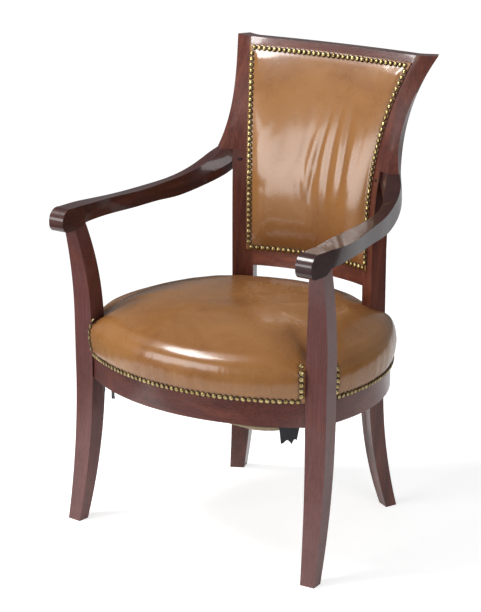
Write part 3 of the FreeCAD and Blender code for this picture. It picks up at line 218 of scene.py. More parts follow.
def mahogany():
    """Old polished mahogany. The grain attribute runs along each piece. Above 0, the tone attribute mixes a greyer
    mauve into the colour, a painted sheen that stands for reflected light; below 0 it darkens the colour, as painted
    shade."""
    colours = bpy.context.scene.armchair_timber
    finish = Finish("mahogany")
    grain = finish.attribute("grain", "Vector")
    tone, worn = finish.attribute("tone"), finish.attribute("worn")
    figure = finish.noise(finish.scaled(grain, (14, 14, 1.5)), 1.0, 3.0, 0.55, 0.7)
    ribbon = finish.noise(finish.scaled(grain, (70, 70, 2.6)), 1.0, 2.0, 0.5, 0.3)
    lines = finish.noise(finish.scaled(grain, (430, 430, 9)), 1.0, 3.0, 0.6)
    pores = finish.noise(finish.scaled(grain, (1500, 1500, 60)), 1.0, 1.0).rise(0.60, 0.74)
    patches = finish.noise(grain, 9.0, 4.0, 0.6)
    depth = figure * 0.42 + ribbon * 0.30 + lines * 0.28
    colour = finish.ramp(depth, [
        (0.34, rgba(colours.dark)), (0.50, rgba(colours.body)), (0.68, rgba(colours.light))])
    # Painted sheen: above 0, the tone mixes a greyer mauve into the colour in patches, standing for reflected light.
    painted_sheen = finish.mix(lines.rise(0.3, 0.7), rgba(blended(colours.painted_sheen, colours.dark, 0.35)), rgba(colours.painted_sheen))
    colour = finish.mix(tone.rise(0.0, 1.0) * patches.rise(0.2, 0.55), colour, painted_sheen)
    # Painted shade: below 0, the tone darkens the colour.
    shade = (0 - tone).rise(0.0, 1.0)
    colour = finish.mix(shade * 0.9, colour, rgba((0.026, 0.0085, 0.0090)))
    colour = finish.mix(pores * 0.75, colour, rgba((0.016, 0.005, 0.004)))
    # The bevels are lightened where rubbed: wear that also serves as a painted highlight along the edges.
    rubbed = worn * finish.noise(grain, 60.0, 3.0, 0.6).rise(0.42, 0.62)
    colour = finish.mix(rubbed * 0.45, colour, rgba(blended(colours.light, (0.36, 0.15, 0.09), 0.4)))
    scuffs = finish.noise(finish.scaled(grain, (260, 260, 700)), 1.0, 2.0, 0.6).rise(0.66, 0.78)
    low = finish.attribute("low")
    colour = finish.mix(scuffs * low * 0.55, colour, rgba((0.24, 0.12, 0.10)))
    smears = finish.noise(grain, 24.0, 4.0, 0.6)
    rough = 0.26 + smears * 0.16 + scuffs * low * 0.25 + pores * 0.12
    wave = finish.noise(grain, 17.0, 2.0)
    height = wave * 0.5 - pores * 0.10 + lines * 0.04 - scuffs * low * 0.05
    return finish.done(
        Base_Color=colour, Roughness=rough, IOR=1.42, Coat_Weight=0.55, Coat_Roughness=0.08,
        Normal=finish.bump(height, 0.5, 0.0012))


def beech():
    finish = Finish("beech")
    place = finish.place()
    lines = finish.noise(finish.scaled(place, (260, 60, 60)), 1.0, 3.0, 0.6)
    flecks = finish.noise(finish.scaled(place, (90, 700, 500)), 1.0, 1.0).rise(0.62, 0.72)
    colour = finish.mix(lines, rgba((0.29, 0.17, 0.085)), rgba((0.46, 0.30, 0.17)))
    colour = finish.mix(flecks * 0.5, colour, rgba((0.20, 0.10, 0.05)))
    return finish.done(Base_Color=colour, Roughness=0.55 + lines * 0.2, Normal=finish.bump(lines, 0.4, 0.0004))


def leather():
    """Tan hide, glazed and handled. One attribute is 1 beside the nails and makes the colour darker there; another
    paints shade into the folds' valleys and at the foot of the back, and a shadow across the seat from the right
    front post.
    """
    colours = bpy.context.scene.armchair_leather
    finish = Finish("leather")
    place = finish.place()
    grime, crease = finish.attribute("grime"), finish.attribute("crease")
    clouds = finish.noise(place, 7.0, 4.0, 0.6, 0.4)
    blotches = finish.noise(place, 30.0, 3.0, 0.6)
    fine = finish.noise(place, 240.0, 2.0, 0.6)
    pebbles = finish.cells(place, 900.0)
    hairs = finish.noise(finish.scaled(place, (320, 320, 40)), 1.0, 2.0).rise(0.66, 0.73)
    colour = finish.mix((clouds * 0.85 + blotches * 0.15).rise(0.22, 0.62), rgba(colours.brown), rgba(colours.tan))
    colour = finish.mix(fine.rise(0.35, 0.75) * 0.10, colour, rgba(blended(colours.tan, (0.52, 0.30, 0.15), 0.5)))
    colour = finish.mix(hairs * 0.05, colour, rgba((0.13, 0.05, 0.02)))
    # Painted shade: a darker brown in the folds' valleys and at the foot of the back, and a painted shadow across
    # the seat from the right front post.
    colour = finish.mix(crease.rise(0.0, 1.0) * 0.55, colour, rgba((0.15, 0.052, 0.017)))
    # Darker, nearly black, beside the nails.
    colour = finish.mix(grime.rise(0.05, 0.95) * 0.85, colour, rgba((0.030, 0.013, 0.006)))
    rough = 0.24 + blotches * 0.08 + grime * 0.25
    height = pebbles * 0.14 + fine * 0.14 + blotches * 0.3 - hairs * 0.02
    return finish.done(
        Base_Color=colour, Roughness=rough, IOR=1.46, Coat_Weight=0.5, Coat_Roughness=0.13,
        Normal=finish.bump(height, 0.42, 0.0007))


def brass():
    """Old brass: bright where the domes are rubbed, brown towards their rims."""
    finish = Finish("brass_nails")
    place = finish.place()
    rise, tint = finish.attribute("rise"), finish.attribute("tint")
    spots = finish.noise(place, 700.0, 3.0, 0.65)
    rubbed = (rise + spots * 0.5 - 0.25).rise(0.34, 0.98)
    bright = finish.mix(tint, rgba((0.40, 0.28, 0.10)), rgba((0.62, 0.48, 0.22)))
    colour = finish.mix(rubbed, rgba((0.030, 0.019, 0.010)), bright)
    return finish.done(
        Base_Color=colour, Metallic=0.35 + rubbed * 0.65, Roughness=0.52 - rubbed * 0.22,
        Normal=finish.bump(spots, 0.35, 0.0003))


def weave(name, thread, colours, axes, rough=0.9, depth=0.0005):
    """A plain woven cloth: threads of one thickness cross over and under along two axes of the piece."""
    finish = Finish(name)
    place = finish.place()
    wobble = finish.noise(place, 60.0, 2.0)
    turns = math.pi / thread
    waves = []
    for axis in axes:
        along = (finish.part(place, axis) + wobble * (thread * 0.8)) * turns
        waves.append(along.maths("SINE", along))
    warp, weft = waves
    over = (warp * weft).rise(-0.25, 0.25)
    ridge = (warp * warp) * over + (weft * weft) * (1 - over)
    slubs = finish.noise(place, 420.0, 3.0, 0.6)
    stains = finish.noise(place, 11.0, 4.0, 0.6)
    dark, light = colours
    colour = finish.mix((ridge * 0.7 + slubs * 0.5).rise(0.2, 0.9), rgba(dark), rgba(light))
    colour = finish.mix(stains.rise(0.45, 0.75) * 0.4, colour, rgba(blended(dark, light, 0.3)))
    return finish.done(
        Base_Color=colour, Roughness=rough, Sheen_Weight=0.25,
        Normal=finish.bump(ridge * 0.8 + slubs * 0.3, 0.8, depth))


def spring_steel():
    finish = Finish("spring_steel")
    place = finish.place()
    rust = finish.noise(place, 90.0, 5.0, 0.7).rise(0.48, 0.66)
    colour = finish.mix(rust, rgba((0.17, 0.155, 0.15)), rgba((0.115, 0.042, 0.018)))
    return finish.done(
        Base_Color=colour, Metallic=0.9 - rust * 0.8, Roughness=0.38 + rust * 0.45,
        Normal=finish.bump(rust, 0.4, 0.0003))


def steel():
    finish = Finish("steel_screws")
    place = finish.place()
    turned = finish.noise(finish.scaled(place, (900, 900, 2400)), 1.0, 2.0)
    colour = finish.mix(turned, rgba((0.20, 0.19, 0.18)), rgba((0.42, 0.40, 0.37)))
    return finish.done(Base_Color=colour, Metallic=1.0, Roughness=0.34 + turned * 0.2)


def pale_floor():
    """A white sheet under the chair and the dim studio round it. Seen straight, both are plain white."""
    finish = Finish("pale_floor")
    mottle = finish.noise(finish.place(), 3.0, 2.0)
    sheet = finish.mix(mottle, rgba((0.86, 0.86, 0.86)), rgba((0.90, 0.90, 0.895)))
    sheet_here = finish.attribute("sheet")
    colour = finish.mix(sheet_here, rgba((0.10, 0.10, 0.10)), sheet)
    seen = finish.node("ShaderNodeLightPath", out="Is Camera Ray")
    glossy = finish.node("ShaderNodeLightPath", out="Is Glossy Ray")
    through = finish.node("ShaderNodeLightPath", out="Is Transmission Ray")
    path = seen + (glossy + through) * sheet_here * 0.5
    glow = finish.mix(sheet_here, rgba((1, 1, 1)), rgba((0.66, 0.66, 0.66)))
    shader = finish.node(
        "ShaderNodeBsdfPrincipled", None, Base_Color=colour, Roughness=0.9, Specular_IOR_Level=0.1,
        Emission_Color=finish.mix(path, rgba((0, 0, 0)), glow), Emission_Strength=1.0)
    finish.node("ShaderNodeOutputMaterial", None, shader)
    return finish.material


HESSIAN, JUTE, BLACK = (
    ((0.20, 0.13, 0.065), (0.46, 0.34, 0.20)), ((0.27, 0.19, 0.10), (0.58, 0.46, 0.29)),
    ((0.006, 0.006, 0.008), (0.020, 0.020, 0.026)))
MAKERS = {
    "mahogany": mahogany, "beech": beech, "leather": leather, "brass_nails": brass,
    "spring_steel": spring_steel, "steel_screws": steel, "pale_floor": pale_floor,
}
WEAVES = {
    "spring_hessian": (0.0016, HESSIAN, "XY"), "back_hessian": (0.0016, HESSIAN, "XZ"),
    "jute_webbing": (0.0026, JUTE, "XY", 0.88, 0.0009), "back_webbing": (0.0026, JUTE, "XZ", 0.88, 0.0009),
    "black_cloth": (0.0011, BLACK, "XZ", 0.8, 0.0003),
}
MATERIALS = {}


def material(name):
    """A finish by name, made the first time that it is asked for."""
    if name not in MATERIALS:
        MATERIALS[name] = MAKERS[name]() if name in MAKERS else weave(name, *WEAVES[name])
    return MATERIALS[name]


# Meshes

def piece_of(name, mesh, *finishes):
    """A new object for a mesh, at the origin, with its materials."""
    mesh.name = name
    made = bpy.data.objects.new(name, mesh)
    bpy.context.scene.collection.objects.link(made)
    if finishes:
        mesh.materials.clear()
        for finish in finishes:
            mesh.materials.append(material(finish))
    return made


def settled(made):
    """Turns the modifiers' result into the object's own plain mesh."""
    bpy.context.view_layer.update()
    graph = bpy.context.evaluated_depsgraph_get()
    mesh = bpy.data.meshes.new_from_object(made.evaluated_get(graph), depsgraph=graph)
    made.modifiers.clear()
    old = made.data
    made.data = mesh
    mesh.name = made.name
    bpy.data.meshes.remove(old)


def note(mesh, name, values, kind="FLOAT"):
    """Stores an attribute that a finish reads."""
    held = mesh.attributes.get(name) or mesh.attributes.new(name, kind, "POINT")
    flat = [part for value in values for part in value] if kind == "FLOAT_VECTOR" else list(values)
    held.data.foreach_set("vector" if kind == "FLOAT_VECTOR" else "value", flat)


def merged(node):
    """A merged copy of a CAD node's mesh, in a BMesh."""
    shape = bmesh.new()
    shape.from_mesh(NODES[node].data)
    bmesh.ops.remove_doubles(shape, verts=shape.verts, dist=1e-5)
    bmesh.ops.dissolve_degenerate(shape, dist=1e-5, edges=shape.edges)
    return shape


def grid_mesh(name, rows, closed=False):
    """A mesh of quads through rows of points. Closed rows join their ends."""
    mesh = bpy.data.meshes.new(name)
    wide = len(rows[0])
    faces = []
    for row in range(len(rows) - 1):
        for step in range(wide if closed else wide - 1):
            after = (step + 1) % wide
            low, high = row * wide, (row + 1) * wide
            faces.append((low + step, low + after, high + after, high + step))
    mesh.from_pydata([tuple(point) for row in rows for point in row], [], faces)
    return mesh


@contextmanager
def reworked(mesh):
    """A mesh opened as a BMesh. When it is closed again, its faces are turned outwards."""
    shape = bmesh.new()
    shape.from_mesh(mesh)
    shape.verts.ensure_lookup_table()
    yield shape
    bmesh.ops.recalc_face_normals(shape, faces=shape.faces)
    shape.to_mesh(mesh)
    shape.free()


def fan(shape, ring, place):
    """Closes a ring of a BMesh with triangles round a new point."""
    middle = shape.verts.new(place)
    for one, other in zip(ring, ring[1:] + ring[:1]):
        shape.faces.new((middle, one, other))


def mesh_from(shape, name):
    mesh = bpy.data.meshes.new(name)
    shape.to_mesh(mesh)
    shape.free()
    return mesh


def thickened(piece, thickness):
    """Gives a sheet its thickness, half of it to each side."""
    thick = piece.modifiers.new("thickness", "SOLIDIFY")
    thick.thickness, thick.offset = thickness, 0
    settled(piece)
    with reworked(piece.data):
        pass
    piece.data.shade_smooth()


def ride(made, slot, *nodes):
    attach(made, "root")
    if nodes:
        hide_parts(*nodes)


# Timber: bevelled copies of the frame's wooden nodes. Each has the direction of its grain and its tone,
# which paints a mauve sheen into the colour above 0 and paints shade below 0.
TIMBER = {
    "front_leg_left": ((0, 0, 1), 0.75), "front_leg_right": ((0, 0, 1), 0.85),
    "rear_leg_left": ((0, 0.12, 1), -0.20), "rear_leg_right": ((0, 0.12, 1), 0.05),
    "arm_left": ((0.2, 1, 0.08), -0.55), "arm_right": ((-0.2, 1, 0.08), -0.85),
    "crest_rail": ((1, 0, 0), 0.05), "lower_back_rail": ((1, 0, 0), -0.1),
    "seat_rail_front": ((1, 0, 0), 0.45), "seat_rail_back": ((1, 0, 0), 0.2),
    "seat_rail_left": ((0.25, 1, 0), 0.3), "seat_rail_right": ((-0.25, 1, 0), 0.45),
}


def timber_piece(node, order):
    along, tone = TIMBER[node]
    width = bpy.context.scene.armchair_timber.arris
    shape = merged(node)
    bmesh.ops.dissolve_limit(
        shape, angle_limit=math.radians(0.6), verts=shape.verts, edges=shape.edges, delimit={"NORMAL"})
    arrises = [edge for edge in shape.edges if len(edge.link_faces) == 2
               and edge.calc_face_angle(0.0) > math.radians(26)]
    # The bevels' faces are marked for the lighter arris colour, wear and painted highlight.
    worn = shape.faces.layers.float.new("worn")
    made = bmesh.ops.bevel(
        shape, geom=arrises, offset=width, offset_type="OFFSET", segments=2, profile=0.5, affect="EDGES",
        clamp_overlap=True)
    for face in made["faces"]:
        face[worn] = 1.0
    bmesh.ops.triangulate(shape, faces=[face for face in shape.faces if len(face.verts) > 4])
    mesh = mesh_from(shape, node)
    mesh.shade_smooth()
    turn = Vector(along).normalized().rotation_difference(UP).to_matrix()
    shift = Vector((0.37 * order, 0.61 * order, 1.3 * order))
    note(mesh, "grain", [turn @ point.co + shift for point in mesh.vertices], "FLOAT_VECTOR")
    note(mesh, "tone", [tone] * len(mesh.vertices))
    note(mesh, "low", [max(0.0, 1 - point.co.z / 0.09) for point in mesh.vertices])
    piece = piece_of("polished_" + node, mesh, "mahogany")
    even = piece.modifiers.new("even", "WEIGHTED_NORMAL")
    even.weight = 60
    settled(piece)
    ride(piece, "mahogany", node)


class ARMCHAIR_OT_timber(bpy.types.Operator):
    """Polish the legs, arms and rails: rubbed arrises and mahogany whose grain runs along each piece"""
    bl_idname = "armchair.timber"
    bl_label = "Legs, arms and rails"

    def execute(self, context):
        for order, node in enumerate(TIMBER):
            timber_piece(node, order)
        return {"FINISHED"}


class ARMCHAIR_OT_hidden_joinery(bpy.types.Operator):
    """Give the corner blocks, dowels, plugs, screws and springs their finishes"""
    bl_idname = "armchair.hidden_joinery"
    bl_label = "Blocks, dowels, screws and springs"

    def execute(self, context):
        finishes = {
            "beech": ["corner_block_front_left", "corner_block_front_right", "corner_block_rear_left",
                      "corner_block_rear_right", "seat_rail_dowels", "back_dowels", "arm_dowels"],
            "steel_screws": ["arm_screws", "corner_block_screws"],
            "spring_steel": ["seat_springs"],
        }
        for finish, nodes in finishes.items():
            for node in nodes:
                NODES[node].data.materials.clear()
                NODES[node].data.materials.append(material(finish))
        mesh = mesh_from(merged("arm_screw_plugs"), "plugs")
        note(mesh, "grain", [(point.co.x * 3 + 5, point.co.z * 3, point.co.y) for point in mesh.vertices],
             "FLOAT_VECTOR")
        # A tone of -0.9 darkens the plugs like the arms, as painted shade.
        note(mesh, "tone", [-0.9] * len(mesh.vertices))
        ride(piece_of("polished_plugs", mesh, "mahogany"), "mahogany", "arm_screw_plugs")
        return {"FINISHED"}


# Seat cushion: the same plan and dome as the frame's leather, notched round the legs and pulled down there

# Centre and radius of the arc that each rail follows: front, back, right and left
BOWS = (((0.0, 0.150), 0.420), ((0.0, -0.123), 0.340), ((-0.041, -0.062), 0.320), ((0.041, -0.062), 0.320))
SEAT_CENTRE = (0.0, -0.030)
LEATHER = 0.0023
# The leather's upright side, as how far out it is beyond its own thickness, and its height
SEAT_SIDE = (
    (0.0000, 0.3310), (0.0039, 0.3448), (0.0070, 0.3650), (0.0070, 0.3796), (0.0038, 0.3926),
    (-0.0021, 0.4023), (-0.0133, 0.4120))
SEAT_REACH = 0.170
SEAT_CROWN = 0.4502


def inset(x, y):
    """How far inside the rails' outer faces a place of the seat's plan is."""
    return min(radius - math.hypot(x - centre[0], y - centre[1]) for centre, radius in BOWS)


def bow_reach(angle, out):
    """Distance along a ray from the seat's centre to its outline, that far out from the rails' faces."""
    cx, cy = SEAT_CENTRE
    dx, dy = math.cos(angle), math.sin(angle)
    found = []
    for (x, y), radius in BOWS:
        ox, oy = cx - x, cy - y
        along = ox * dx + oy * dy
        found.append(-along + math.sqrt(max(0.0, along ** 2 - (ox ** 2 + oy ** 2) + (radius + out) ** 2)))
    return min(found)


def seat_place(angle, reach, z):
    return [SEAT_CENTRE[0] + math.cos(angle) * reach, SEAT_CENTRE[1] + math.sin(angle) * reach, z]


def leg_sections():
    """The four legs' outlines where they pass the seat, a little wider than the wood."""
    height, wider = 0.40, 0.0007
    sections = []
    for node in ("front_leg_left", "front_leg_right", "rear_leg_left", "rear_leg_right"):
        points = []
        for edge in NODES[node].data.edges:
            one, other = (NODES[node].data.vertices[index].co for index in edge.vertices)
            if (one.z - height) * (other.z - height) < 0:
                points.append(one.lerp(other, (height - one.z) / (other.z - one.z)))
        middle = sum(points, Vector()) / len(points)
        section = []
        for x, y in hull_of([(point.x, point.y) for point in points]):
            reach = math.hypot(x - middle.x, y - middle.y)
            section.append((x + (x - middle.x) / reach * wider, y + (y - middle.y) / reach * wider))
        sections.append(section)
    return sections


def leg_sides(sections):
    """Start and end of each side of the legs' outlines."""
    for section in sections:
        yield from zip(section, section[1:] + section[:1])


def hull_of(points):
    """Convex outline of points in a plane, anticlockwise."""
    points = sorted(set((round(x, 6), round(y, 6)) for x, y in points))

    def half(run):
        kept = []
        for point in run:
            while len(kept) > 1 and (
                    (kept[-1][0] - kept[-2][0]) * (point[1] - kept[-2][1])
                    - (kept[-1][1] - kept[-2][1]) * (point[0] - kept[-2][0])) <= 0:
                kept.pop()
            kept.append(point)
        return kept[:-1]

    return half(points) + half(points[::-1])


def leg_reach(angle, sections):
    """Distance along a ray from the seat's centre to the nearest leg, or a large number."""
    cx, cy = SEAT_CENTRE
    dx, dy = math.cos(angle), math.sin(angle)
    nearest = FAR
    for (ax, ay), (bx, by) in leg_sides(sections):
        ex, ey = bx - ax, by - ay
        cross = dx * ey - dy * ex
        if abs(cross) < 1e-12:
            continue
        along = ((ax - cx) * ey - (ay - cy) * ex) / cross
        share = ((ax - cx) * dy - (ay - cy) * dx) / cross
        if along > 0 and -1e-9 <= share <= 1 + 1e-9:
            nearest = min(nearest, along)
    return nearest


def leg_gap(x, y, sections):
    """Distance from a place to the nearest leg's outline."""
    nearest = FAR
    for (ax, ay), (bx, by) in leg_sides(sections):
        ex, ey = bx - ax, by - ay
        share = clamped(((x - ax) * ex + (y - ay) * ey) / (ex * ex + ey * ey))
        nearest = min(nearest, math.hypot(x - ax - share * ex, y - ay - share * ey))
    return nearest


def curve_through(points, spacing):
    """Points about one spacing apart on a smooth curve through the given ones."""
    ends = [points[0], *points, points[-1]]
    found = []
    for before, start, end, after in zip(ends, ends[1:], ends[2:], ends[3:]):
        reach = math.dist(start, end)
        count = max(1, round(reach / spacing))
        for step in range(count):
            t = step / count
            found.append(tuple(
                0.5 * (2 * b + (c - a) * t + (2 * a - 5 * b + 4 * c - d) * t * t + (3 * b - a - 3 * c + d) * t ** 3)
                for a, b, c, d in zip(before, start, end, after)))
    found.append(points[-1])
    return found


def seat_profile(spacing):
    """The cushion's section from the leather's lower edge over the shoulder to the middle: out and height."""
    points = list(SEAT_SIDE)
    edge, shoulder = -SEAT_SIDE[-1][0], SEAT_SIDE[-1][1]
    for share in (0.05, 0.12, 0.22, 0.34, 0.48, 0.62, 0.76, 0.9):
        points.append((-edge - share * (SEAT_REACH - edge), SEAT_CROWN - (SEAT_CROWN - shoulder) * (1 - share) ** 2))
    return curve_through(points, spacing)


def seat_form(spacing):
    """Rings of the seat cushion's closed form, from the middle of its underside to the middle of its crown."""
    sections = leg_sections()
    angles, angle = [], -math.pi
    while angle < math.pi - 1e-6:
        angles.append(angle)
        reach = min(bow_reach(angle, LEATHER), leg_reach(angle, sections))
        beyond = min(bow_reach(angle + 0.002, LEATHER), leg_reach(angle + 0.002, sections))
        run = math.hypot(reach * 0.002, beyond - reach)
        angle += min(0.014, 0.002 * spacing / run)
    legs = [leg_reach(angle, sections) for angle in angles]

    def ring(out, z):
        row = []
        for angle, leg in zip(angles, legs):
            row.append(seat_place(angle, min(bow_reach(angle, out), leg), z))
        return row

    rings = [ring(-0.20, 0.3885), ring(-0.12, 0.3885), ring(-0.053, 0.3885), ring(-0.014, 0.3458),
             ring(0.0006, 0.3458), ring(0.0006, 0.3312)]
    under = len(rings)
    profile = seat_profile(spacing)
    for out, z in profile:
        rings.append(ring(LEATHER + out, z))
    last_out, last_z = profile[-1]
    domes = 22
    for step in range(1, domes):
        share = step / domes
        rows = ring(LEATHER + last_out, last_z + (SEAT_CROWN - last_z) * (1 - (1 - share) ** 2))
        rings.append([[SEAT_CENTRE[0] + (x - SEAT_CENTRE[0]) * (1 - share),
                       SEAT_CENTRE[1] + (y - SEAT_CENTRE[1]) * (1 - share), z] for x, y, z in rows])
    for row in rings[under:]:
        for point in row:
            gap = leg_gap(point[0], point[1], sections)
            high = clamped((point[2] - 0.375) / 0.05)
            point[2] -= 0.019 * math.exp(-(gap / 0.026) ** 1.3) * high * high * (3 - 2 * high)
    return rings, sections


def closed_rings(name, rings):
    """A closed mesh of rings, with a fan at each end."""
    mesh = grid_mesh(name, rings, closed=True)
    wide = len(rings[0])
    with reworked(mesh) as shape:
        verts = list(shape.verts)
        for ring in (verts[:wide], verts[-wide:]):
            fan(shape, ring, sum((vert.co for vert in ring), Vector()) / wide)
        bmesh.ops.remove_doubles(shape, verts=shape.verts, dist=2e-5)
    mesh.shade_smooth()
    return mesh


def swollen(made, held, cap):
    """Swells a closed form with cloth physics. Held gives 1 where a point stays, and cap is the furthest
    that a point moves."""
    settings = bpy.context.scene.armchair_leather
    start = [point.co.copy() for point in made.data.vertices]
    group = made.vertex_groups.new(name="held")
    for index, point in enumerate(start):
        group.add([index], held(point), "REPLACE")
    cloth = made.modifiers.new("swell", "CLOTH")
    stuff = cloth.settings
    for key, value in {
            "quality": 5, "mass": 0.25, "tension_stiffness": 25, "compression_stiffness": 25, "shear_stiffness": 15,
            "bending_stiffness": 2.0, "use_pressure": True, "uniform_pressure_force": settings.pressure}.items():
        setattr(stuff, key, value)
    stuff.effector_weights.gravity = 0
    stuff.vertex_group_mass = "held"
    cloth.collision_settings.use_self_collision = False
    cloth.collision_settings.use_collision = False
    last = 20
    cloth.point_cache.frame_start, cloth.point_cache.frame_end = 1, last
    scene = bpy.context.scene
    for frame_number in range(1, last + 1):
        scene.frame_set(frame_number)
    graph = bpy.context.evaluated_depsgraph_get()
    moved = [point.co.copy() for point in made.evaluated_get(graph).data.vertices]
    made.modifiers.clear()
    made.vertex_groups.clear()
    scene.frame_set(1)
    for point, before, after in zip(made.data.vertices, start, moved):
        step = after - before
        if step.length > cap:
            step *= cap / step.length
        point.co = before + step
    made.data.update()


def pressed(mesh, tree, depth, width, ring_width):
    """Presses a mesh in beside the nails and stores how near they are, as an attribute that makes the colour darker
    there.
    """
    grime = []
    normals = [vertex.normal.copy() for vertex in mesh.vertices]
    for vertex, normal in zip(mesh.vertices, normals):
        gap = tree.find(vertex.co)[2]
        vertex.co -= normal * (depth * math.exp(-(gap / width) ** 2))
        grime.append(math.exp(-(gap / ring_width) ** 2))
    note(mesh, "grime", grime)


def nail_tree(*nodes):
    places = [place for node in nodes for place, way in nails_of(node)]
    tree = kdtree.KDTree(len(places))
    for index, place in enumerate(places):
        tree.insert(place, index)
    tree.balance()
    return tree


# Folds of the seat: where a fold starts and ends in plan, its height and its width
SEAT_FOLDS = (
    # The first fold's valley carries a painted shadow from the right front post across the seat.
    ((0.232, -0.168), (0.105, -0.095), -0.0045, 0.016),
    ((0.228, -0.150), (0.120, -0.060), 0.0022, 0.014),
    ((0.246, -0.150), (0.215, -0.075), -0.0028, 0.010),
    ((-0.232, -0.168), (-0.120, -0.110), -0.0040, 0.014),
    ((-0.243, -0.150), (-0.200, -0.050), -0.0030, 0.012),
    ((0.165, 0.140), (0.110, 0.060), -0.0035, 0.014),
    ((0.190, 0.120), (0.170, 0.040), -0.0026, 0.012),
    ((-0.165, 0.140), (-0.110, 0.060), -0.0035, 0.014),
    ((-0.190, 0.120), (-0.170, 0.040), -0.0026, 0.012),
)


def fold_height(x, y):
    """How much the seat's folds lift a place of its plan, and how much shade is painted into it where it lies in a
    fold's valley.
    """
    total, crease = 0.0, 0.0
    for (ax, ay), (bx, by), height, width in SEAT_FOLDS:
        ex, ey = bx - ax, by - ay
        share = ((x - ax) * ex + (y - ay) * ey) / (ex * ex + ey * ey)
        if not -0.2 < share < 1.0:
            continue
        across = ((x - ax) * ey - (y - ay) * ex) / math.hypot(ex, ey)
        fade = (1 - max(0.0, share)) ** 1.2 * min(1.0, (share + 0.2) / 0.2)
        form = math.exp(-(across / (width * (0.7 + 0.6 * max(0.0, share)))) ** 2) * fade
        total += height * form
        if height < 0:
            crease = max(crease, form * min(1.0, -height / 0.004))
    return total, crease


class ARMCHAIR_OT_seat_cushion(bpy.types.Operator):
    """Build the sprung seat's leather cushion, swell it, fold it round the legs and press it at the nails"""
    bl_idname = "armchair.seat_cushion"
    bl_label = "Seat cushion"

    def execute(self, context):
        rings, sections = seat_form(0.0042)
        mesh = closed_rings("seat_cushion", rings)
        piece = piece_of("seat_cushion", mesh, "leather")
        def held(point):
            edge = inset(point.x, point.y)
            top = clamped((point.z - 0.400) / 0.03)
            free = clamped((edge - 0.015) / 0.05) * top
            return 1.0 - 0.999 * free * min(1.0, leg_gap(point.x, point.y, sections) / 0.03)

        swollen(piece, held, context.scene.armchair_leather.swell_seat)
        painted_shades = []
        for vertex in mesh.vertices:
            x, y, z = vertex.co
            top = clamped((z - 0.395) / 0.012)
            lift, crease = fold_height(x, y)
            slack = waver(x * 9, y * 9, 3.7) * 0.0016 + waver(x * 26, y * 26, 9.1) * 0.0005
            vertex.co.z += (lift + slack) * top
            painted_shades.append(crease * top)
        mesh.update()
        for vertex in mesh.vertices:
            x, y, z = vertex.co
            if z < 0.331 or z > 0.412 or inset(x, y) > 0.006:
                continue
            angle = math.atan2(y - SEAT_CENTRE[1], x - SEAT_CENTRE[0])
            low = clamped((0.398 - z) / 0.03) * clamped((z - 0.334) / 0.01)
            pucker = math.sin(angle * 212 + 2 * math.sin(angle * 31)) * 0.00035
            pucker += waver(math.cos(angle) * 14, math.sin(angle) * 14, z * 6) * 0.0011
            vertex.co += vertex.normal * (pucker * low)
        mesh.update()
        pressed(mesh, nail_tree("seat_nails"), 0.0010, 0.0068, 0.0062)
        note(mesh, "crease", painted_shades)
        mesh.update()
        ride(piece, "leather", "seat_leather", "seat_stuffing")
        return {"FINISHED"}


# Back: a hollow, leaning face between the stiles, on which the cushion and the cloths lie

BACK_LOW, BACK_HIGH = 0.473, 0.867
BORDER = 0.0115
BACK_FILL = 0.0172


def lean(z):
    return max(0.0, (z - 0.475) / 0.395) ** 2.7


def back_edge(z):
    return 0.1402 + 0.045 * lean(z)


def back_face(x, z, out=0.0):
    """A place on the front of the back, or that far out in front of it."""
    edge = back_edge(z)
    side = 0.1623 + 0.077 * lean(z)
    middle = side + 0.029 - 0.018 * lean(z)
    return Vector((x, middle - (middle - side) * (x / edge) ** 2 - out, z))


# Pull folds of the back's leather: top and foot (x, z), height share and half width
BACK_FOLDS = (
    ((-0.092, 0.770), (-0.126, 0.670), 0.40, 0.010),
    ((-0.058, 0.776), (-0.086, 0.660), 0.50, 0.010),
    ((-0.024, 0.780), (-0.046, 0.640), 0.75, 0.009),
    ((0.012, 0.784), (-0.012, 0.600), 1.05, 0.008),
    ((0.038, 0.790), (0.018, 0.590), 1.10, 0.009),
    ((0.066, 0.796), (0.050, 0.605), 1.30, 0.009),
    ((0.094, 0.790), (0.086, 0.640), 0.90, 0.009),
)


def back_puff(x, z):
    """How full the back cushion is at a place, from 0 at the nails to 1."""
    beside = (back_edge(z) - BORDER - abs(x)) / 0.050
    above, below = (BACK_HIGH - BORDER - z) / 0.270, (z - BACK_LOW - BORDER) / 0.075
    full = 1.0
    for gap, power in ((beside, 2.2), (above, 1.2), (below, 2.2)):
        full *= 1 - (1 - clamped(gap)) ** power
    # Fuller in the upper corners, where the lining behind it would come through
    corner = max(0.0, 1 - (back_edge(z) - abs(x)) / 0.060) * max(0.0, 1 - (BACK_HIGH - z) / 0.100)
    rise = clamped(beside * 6) * clamped(above * 24)
    return min(1.0, full + 0.3 * corner * rise)


